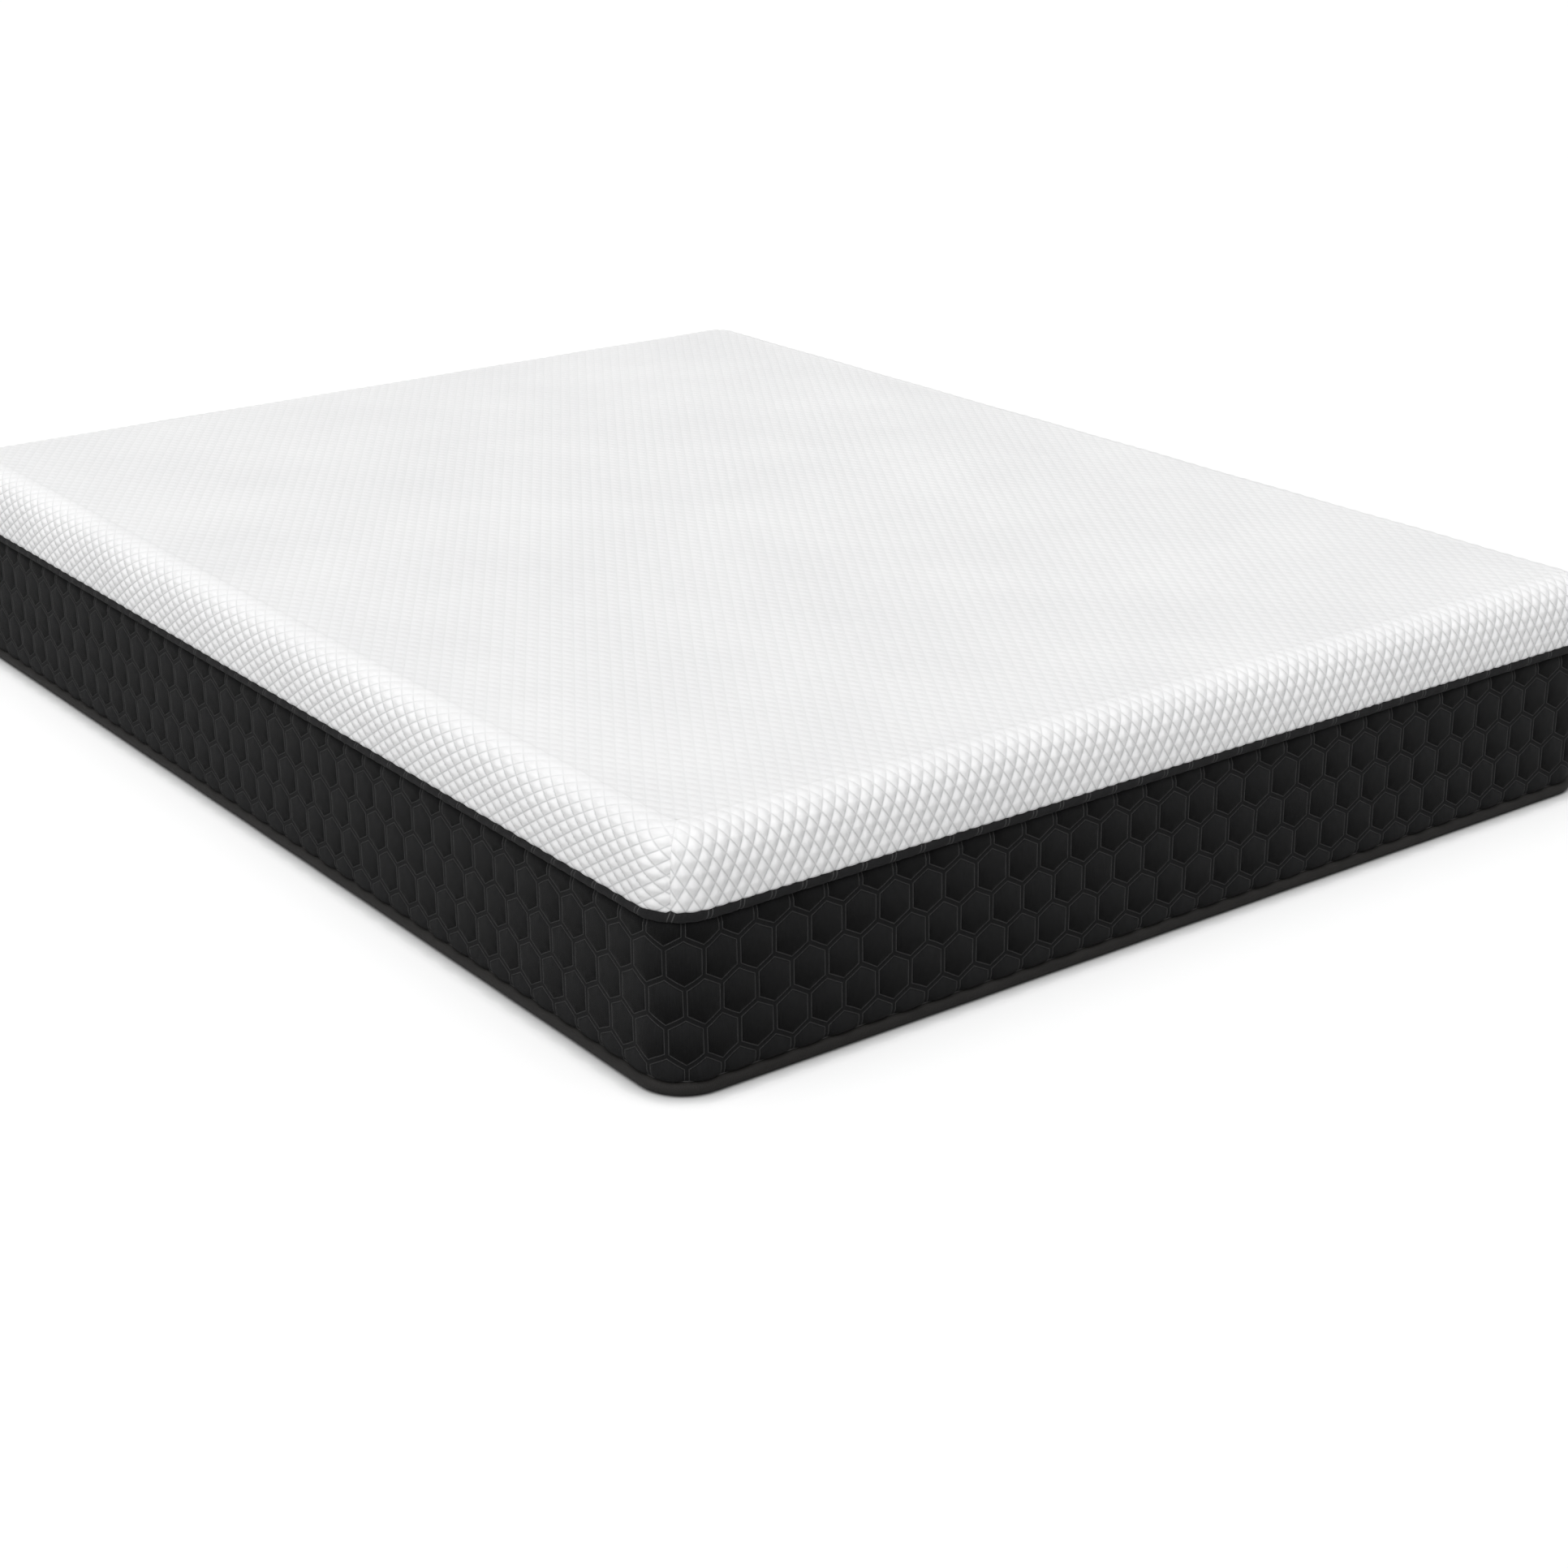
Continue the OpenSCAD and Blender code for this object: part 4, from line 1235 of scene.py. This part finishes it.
# %% Ribbed piping tape and base cloth
def ribbed(graph, place):
    split = graph.add("ShaderNodeSeparateXYZ", {0: place})
    rib = graph.math("SINE", graph.math("MULTIPLY", split.outputs[0], 2 * math.pi / 0.0016))
    patch = use(graph, blotches, Place=place, Size=0.05)["Mask"]
    fuzz = graph.noise(place, 900, 3)
    tone = graph.math("MULTIPLY_ADD", patch, 0.4, graph.math("MULTIPLY", fuzz, 0.6))
    colour = graph.mix(tone, (0.009, 0.0083, 0.0078, 1), (0.024, 0.0225, 0.021, 1))
    height = graph.math("MULTIPLY_ADD", rib, 0.4, fuzz)
    return colour, graph.ramp(fuzz, 0, 1, 0.6, 0.85), height, 0.00025


def felted(graph, place):
    fibre = graph.noise(graph.scaled(place, (1200, 300, 1)), 1, 4, 0.7)
    cell = graph.add("ShaderNodeTexVoronoi", {"Vector": place, "Scale": 320.0}).outputs["Distance"]
    dimple = graph.ramp(cell, 0.0, 0.45)
    patch = use(graph, blotches, Place=place, Size=0.2)["Mask"]
    colour = graph.mix(graph.math("MULTIPLY_ADD", fibre, 0.7, graph.math("MULTIPLY", patch, 0.3)),
                       (0.012, 0.012, 0.012, 1), (0.045, 0.045, 0.046, 1))
    return colour, 0.9, graph.math("MULTIPLY_ADD", fibre, 0.4, dimple), 0.0004


piping_ribbed = finish_material("piping_ribbed", ribbed, gloss=0.25, sheen=0.05)
base_felt = finish_material("base_felt", felted, gloss=0.15)

# %% [markdown]
# ### The white knit
# The knit is close to pure white. Its loops are about a millimetre wide, so they show as
# a soft grain. The links between the diamonds lie lower and hold a trace of shade.

# %% White knit
def make_links():
    graph, given, out = new_group("diamond_links", [("Place", "NodeSocketVector", None),
                                                    ("Diamond width", "NodeSocketFloat", 0.0174),
                                                    ("Diamond length", "NodeSocketFloat", 0.0277)],
                                  [("Height", "NodeSocketFloat"), ("Link", "NodeSocketFloat")])
    split = graph.add("ShaderNodeSeparateXYZ", {0: given.outputs["Place"]})
    a = graph.math("DIVIDE", split.outputs[0], given.outputs["Diamond width"])
    b = graph.math("DIVIDE", split.outputs[1], given.outputs["Diamond length"])

    def line(operation):
        turn = graph.math("MULTIPLY", graph.math(operation, a, b), math.pi)
        return graph.math("ABSOLUTE", graph.math("SINE", turn))

    one = line("ADD")
    two = line("SUBTRACT")
    height = graph.math("POWER", graph.math("MULTIPLY", one, two), 0.75)
    nearest = graph.math("MINIMUM", one, two)
    finish_group(graph, out, {"Height": height, "Link": graph.ramp(nearest, 0.0, 0.30, 1.0, 0.0)})
    return graph.tree


links = make_links()


def white_knit(graph, place):
    loops = use(graph, courses, Place=place, Loop_size=0.0013)
    patch = use(graph, blotches, Place=place, Size=0.25)["Mask"]
    raised = use(graph, links, Place=place, Diamond_width=diamond_x, Diamond_length=diamond_y)
    taut = graph.add("ShaderNodeAttribute", attribute_name="taut").outputs["Fac"]
    tone = graph.math("MULTIPLY_ADD", loops["Fuzz"], 0.5, graph.math("MULTIPLY", patch, 0.5))
    colour = graph.mix(tone, (0.84, 0.84, 0.845, 1), (0.93, 0.93, 0.93, 1))
    shade = graph.math("MULTIPLY", graph.math("MULTIPLY", raised["Link"], 0.7), taut)
    colour = graph.mix(shade, colour, (0.52, 0.525, 0.53, 1))
    fine_height = graph.math("MULTIPLY_ADD", loops["Fuzz"], 0.5, loops["Height"])
    puffed = graph.math("MULTIPLY", raised["Height"], graph.math("MULTIPLY_ADD", taut, 0.85, 0.15))
    height = graph.math("MULTIPLY_ADD", fine_height, 0.12, puffed)
    return colour, graph.ramp(loops["Fuzz"], 0, 1, 0.8, 0.95), height, 0.0010


knit_white = finish_material("knit_white", white_knit, gloss=0.1, sheen=0.02)


# %% Threads
def thread_finish(dark, light):
    def build(graph, place):
        twist = graph.noise(graph.scaled(place, (500, 3000, 1)), 1, 2)
        colour = graph.mix(twist, dark, light)
        return colour, graph.ramp(twist, 0, 1, 0.5, 0.7), twist, 0.0001
    return build


white_thread = thread_finish((0.62, 0.62, 0.62, 1), (0.86, 0.86, 0.86, 1))
black_thread = thread_finish((0.006, 0.006, 0.006, 1), (0.03, 0.03, 0.03, 1))
thread_white = finish_material("thread_white", white_thread)
thread_black = finish_material("thread_black", black_thread)


# %% [markdown]
# ### What is inside
# The core and its layers are hidden in use, but they are real pieces with their own
# finishes: three foams with open cells of different sizes, a flat-knit sock, fibre
# wadding, and twisted cord inside the piping.

# %% Foams, sock, wadding and cord
def foam(dark, light, cell_size):
    def build(graph, place):
        cells = graph.add("ShaderNodeTexVoronoi", {"Vector": place, "Scale": 1 / cell_size})
        pores = graph.ramp(cells.outputs["Distance"], 0.05, 0.6)
        patch = use(graph, blotches, Place=place, Size=0.15)["Mask"]
        tone = graph.math("MULTIPLY_ADD", pores, 0.6, graph.math("MULTIPLY", patch, 0.4))
        colour = graph.mix(tone, dark, light)
        return colour, 0.9, pores, cell_size * 0.3
    return build


def sock(graph, place):
    loops = use(graph, courses, Place=place, Loop_size=0.002)
    colour = graph.mix(loops["Fuzz"], (0.62, 0.6, 0.54, 1), (0.8, 0.78, 0.72, 1))
    return colour, 0.9, graph.math("MULTIPLY_ADD", loops["Fuzz"], 0.5, loops["Height"]), 0.0004


def fluffy(graph, place):
    fibre = graph.noise(place, 350, 6, 0.8)
    wisps = graph.noise(graph.scaled(place, (60, 200, 60)), 1, 3)
    colour = graph.mix(wisps, (0.74, 0.74, 0.73, 1), (0.92, 0.92, 0.91, 1))
    return colour, 0.95, graph.math("MULTIPLY_ADD", wisps, 0.5, fibre), 0.002


def corded(graph, place):
    split = graph.add("ShaderNodeSeparateXYZ", {0: place})
    along = graph.math("ADD", split.outputs[0], split.outputs[1])
    strand = graph.math("SINE", graph.math("MULTIPLY_ADD", split.outputs[2], 500.0,
                                           graph.math("MULTIPLY", along, 900.0)))
    fibre = graph.noise(place, 1200, 3)
    colour = graph.mix(fibre, (0.5, 0.48, 0.42, 1), (0.74, 0.72, 0.66, 1))
    return colour, 0.85, graph.math("MULTIPLY_ADD", strand, 0.5, fibre), 0.0008


foams = {}
for name, dark, light, cell_size in (
        ("foam_support", (0.72, 0.68, 0.54, 1), (0.9, 0.87, 0.74, 1), 0.0016),
        ("foam_transition", (0.6, 0.68, 0.74, 1), (0.78, 0.85, 0.9, 1), 0.0012),
        ("foam_memory", (0.5, 0.62, 0.72, 1), (0.68, 0.79, 0.87, 1), 0.0008),
        ("foam_border", (0.05, 0.05, 0.05, 1), (0.11, 0.11, 0.11, 1), 0.0012)):
    foams[name] = finish_material(name, foam(dark, light, cell_size), on_cloth=False)
sock_knit = finish_material("sock_knit", sock, on_cloth=False)
wadding_fibre = finish_material("wadding_fibre", fluffy, sheen=0.1)
cord_fibre = finish_material("cord_fibre", corded, on_cloth=False)


# %% [markdown]
# ### Zip and label
# The tape is a tight plain weave, the coil is moulded nylon with a low shine, and
# the slider is cast metal with a brushed, slightly worn plating. The label is white satin.

# %% Tape, coil, metal and satin
def tape_weave(graph, place):
    thread = use(graph, weave, Place=place, Thread_size=0.0006)
    colour = graph.mix(thread["Tone"], (0.008, 0.008, 0.008, 1), (0.03, 0.03, 0.03, 1))
    return colour, 0.8, thread["Height"], 0.0003


def nylon(graph, place):
    draw = graph.noise(graph.scaled(place, (300, 300, 1)), 1, 3)
    colour = graph.mix(draw, (0.010, 0.010, 0.011, 1), (0.022, 0.022, 0.023, 1))
    return colour, graph.ramp(draw, 0, 1, 0.3, 0.45), draw, 0.00005


def plated(graph, place):
    brushed = graph.noise(graph.scaled(place, (250, 2500, 2500)), 1, 3)
    worn = graph.ramp(graph.noise(place, 90, 2), 0.35, 0.85)
    colour = graph.mix(worn, (0.2, 0.2, 0.205, 1), (0.34, 0.335, 0.33, 1))
    rough = graph.math("MULTIPLY_ADD", brushed, 0.2, graph.ramp(worn, 0, 1, 0.28, 0.42))
    return colour, rough, brushed, 0.00006


def satin(graph, place):
    thread = use(graph, weave, Place=place, Thread_size=0.00035)
    colour = graph.mix(thread["Tone"], (0.74, 0.74, 0.73, 1), (0.88, 0.88, 0.87, 1))
    return colour, graph.ramp(thread["Tone"], 0, 1, 0.35, 0.55), thread["Height"], 0.0001


zip_tape = finish_material("zip_tape", tape_weave, gloss=0.2)
zip_nylon = finish_material("zip_nylon", nylon, gloss=0.5)
zip_metal = finish_material("zip_metal", plated, on_cloth=False, gloss=0.5, metallic=1.0)
label_satin = finish_material("label_satin", satin, gloss=0.4, sheen=0.1)

# %% [markdown]
# ## Dress the pieces
# Every cloth piece stands for its CAD solids, takes its finish from the materials above,
# and moves with the mattress. The solids that stay in view inside the
# cover get their finish directly.

# %% Give every piece its finish and body
sewn_corners = [(corner_seams["corner_stitches_" + corner], ["corner_seam_" + corner], thread_white,
                 "seam_thread_white") for corner in ("near_left", "near_right", "far_left", "far_right")]
dressed = [
    (top, ["top_cover"], knit_white, "knit_white"),
    (wadding, ["top_wadding"], wadding_fibre, "wadding"),
    *sewn_corners,
    (border, ["border_panel"], border_black, "border_black"),
    (zip_hem, [], piping_black, "border_black"),
    (hem_stitching, [], thread_black, "thread_black"),
    (closing_seam, ["border_closing_seam"], thread_black, "thread_black"),
    (upper, ["upper_piping"], piping_black, "piping_black"),
    (lower, ["lower_piping"], piping_ribbed, "piping_ribbed"),
    (base, ["base_panel"], base_felt, "base_cloth"),
    (coil_upper, ["zip_coil_upper"], zip_nylon, "zip_coil"),
    (coil_lower, ["zip_coil_lower"], zip_nylon, "zip_coil"),
    (tape_upper, ["zip_tape_upper"], zip_tape, "zip_tape"),
    (tape_lower, ["zip_tape_lower"], zip_tape, "zip_tape"),
    (label, ["care_label"], label_satin, "label_white"),
]
for piece, stands_for, material, slot_name in dressed:
    piece.data.materials.append(material)
    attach(piece, "mattress")
    if stands_for:
        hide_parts(*stands_for)

carried = {
    "support_foam": foams["foam_support"], "transition_foam": foams["foam_transition"],
    "memory_foam": foams["foam_memory"],
    "fire_sock": sock_knit, "lower_piping_cord": cord_fibre, "upper_piping_cord": cord_fibre,
    "border_backing": foams["foam_border"], "zip_stop_closed": zip_nylon, "zip_stop_open": zip_nylon,
    "zip_slider": zip_metal, "zip_pull": zip_metal,
}
for name, material in carried.items():
    mesh = nodes[name].data
    mesh.materials.clear()
    mesh.materials.append(material)
    print("finished", name)
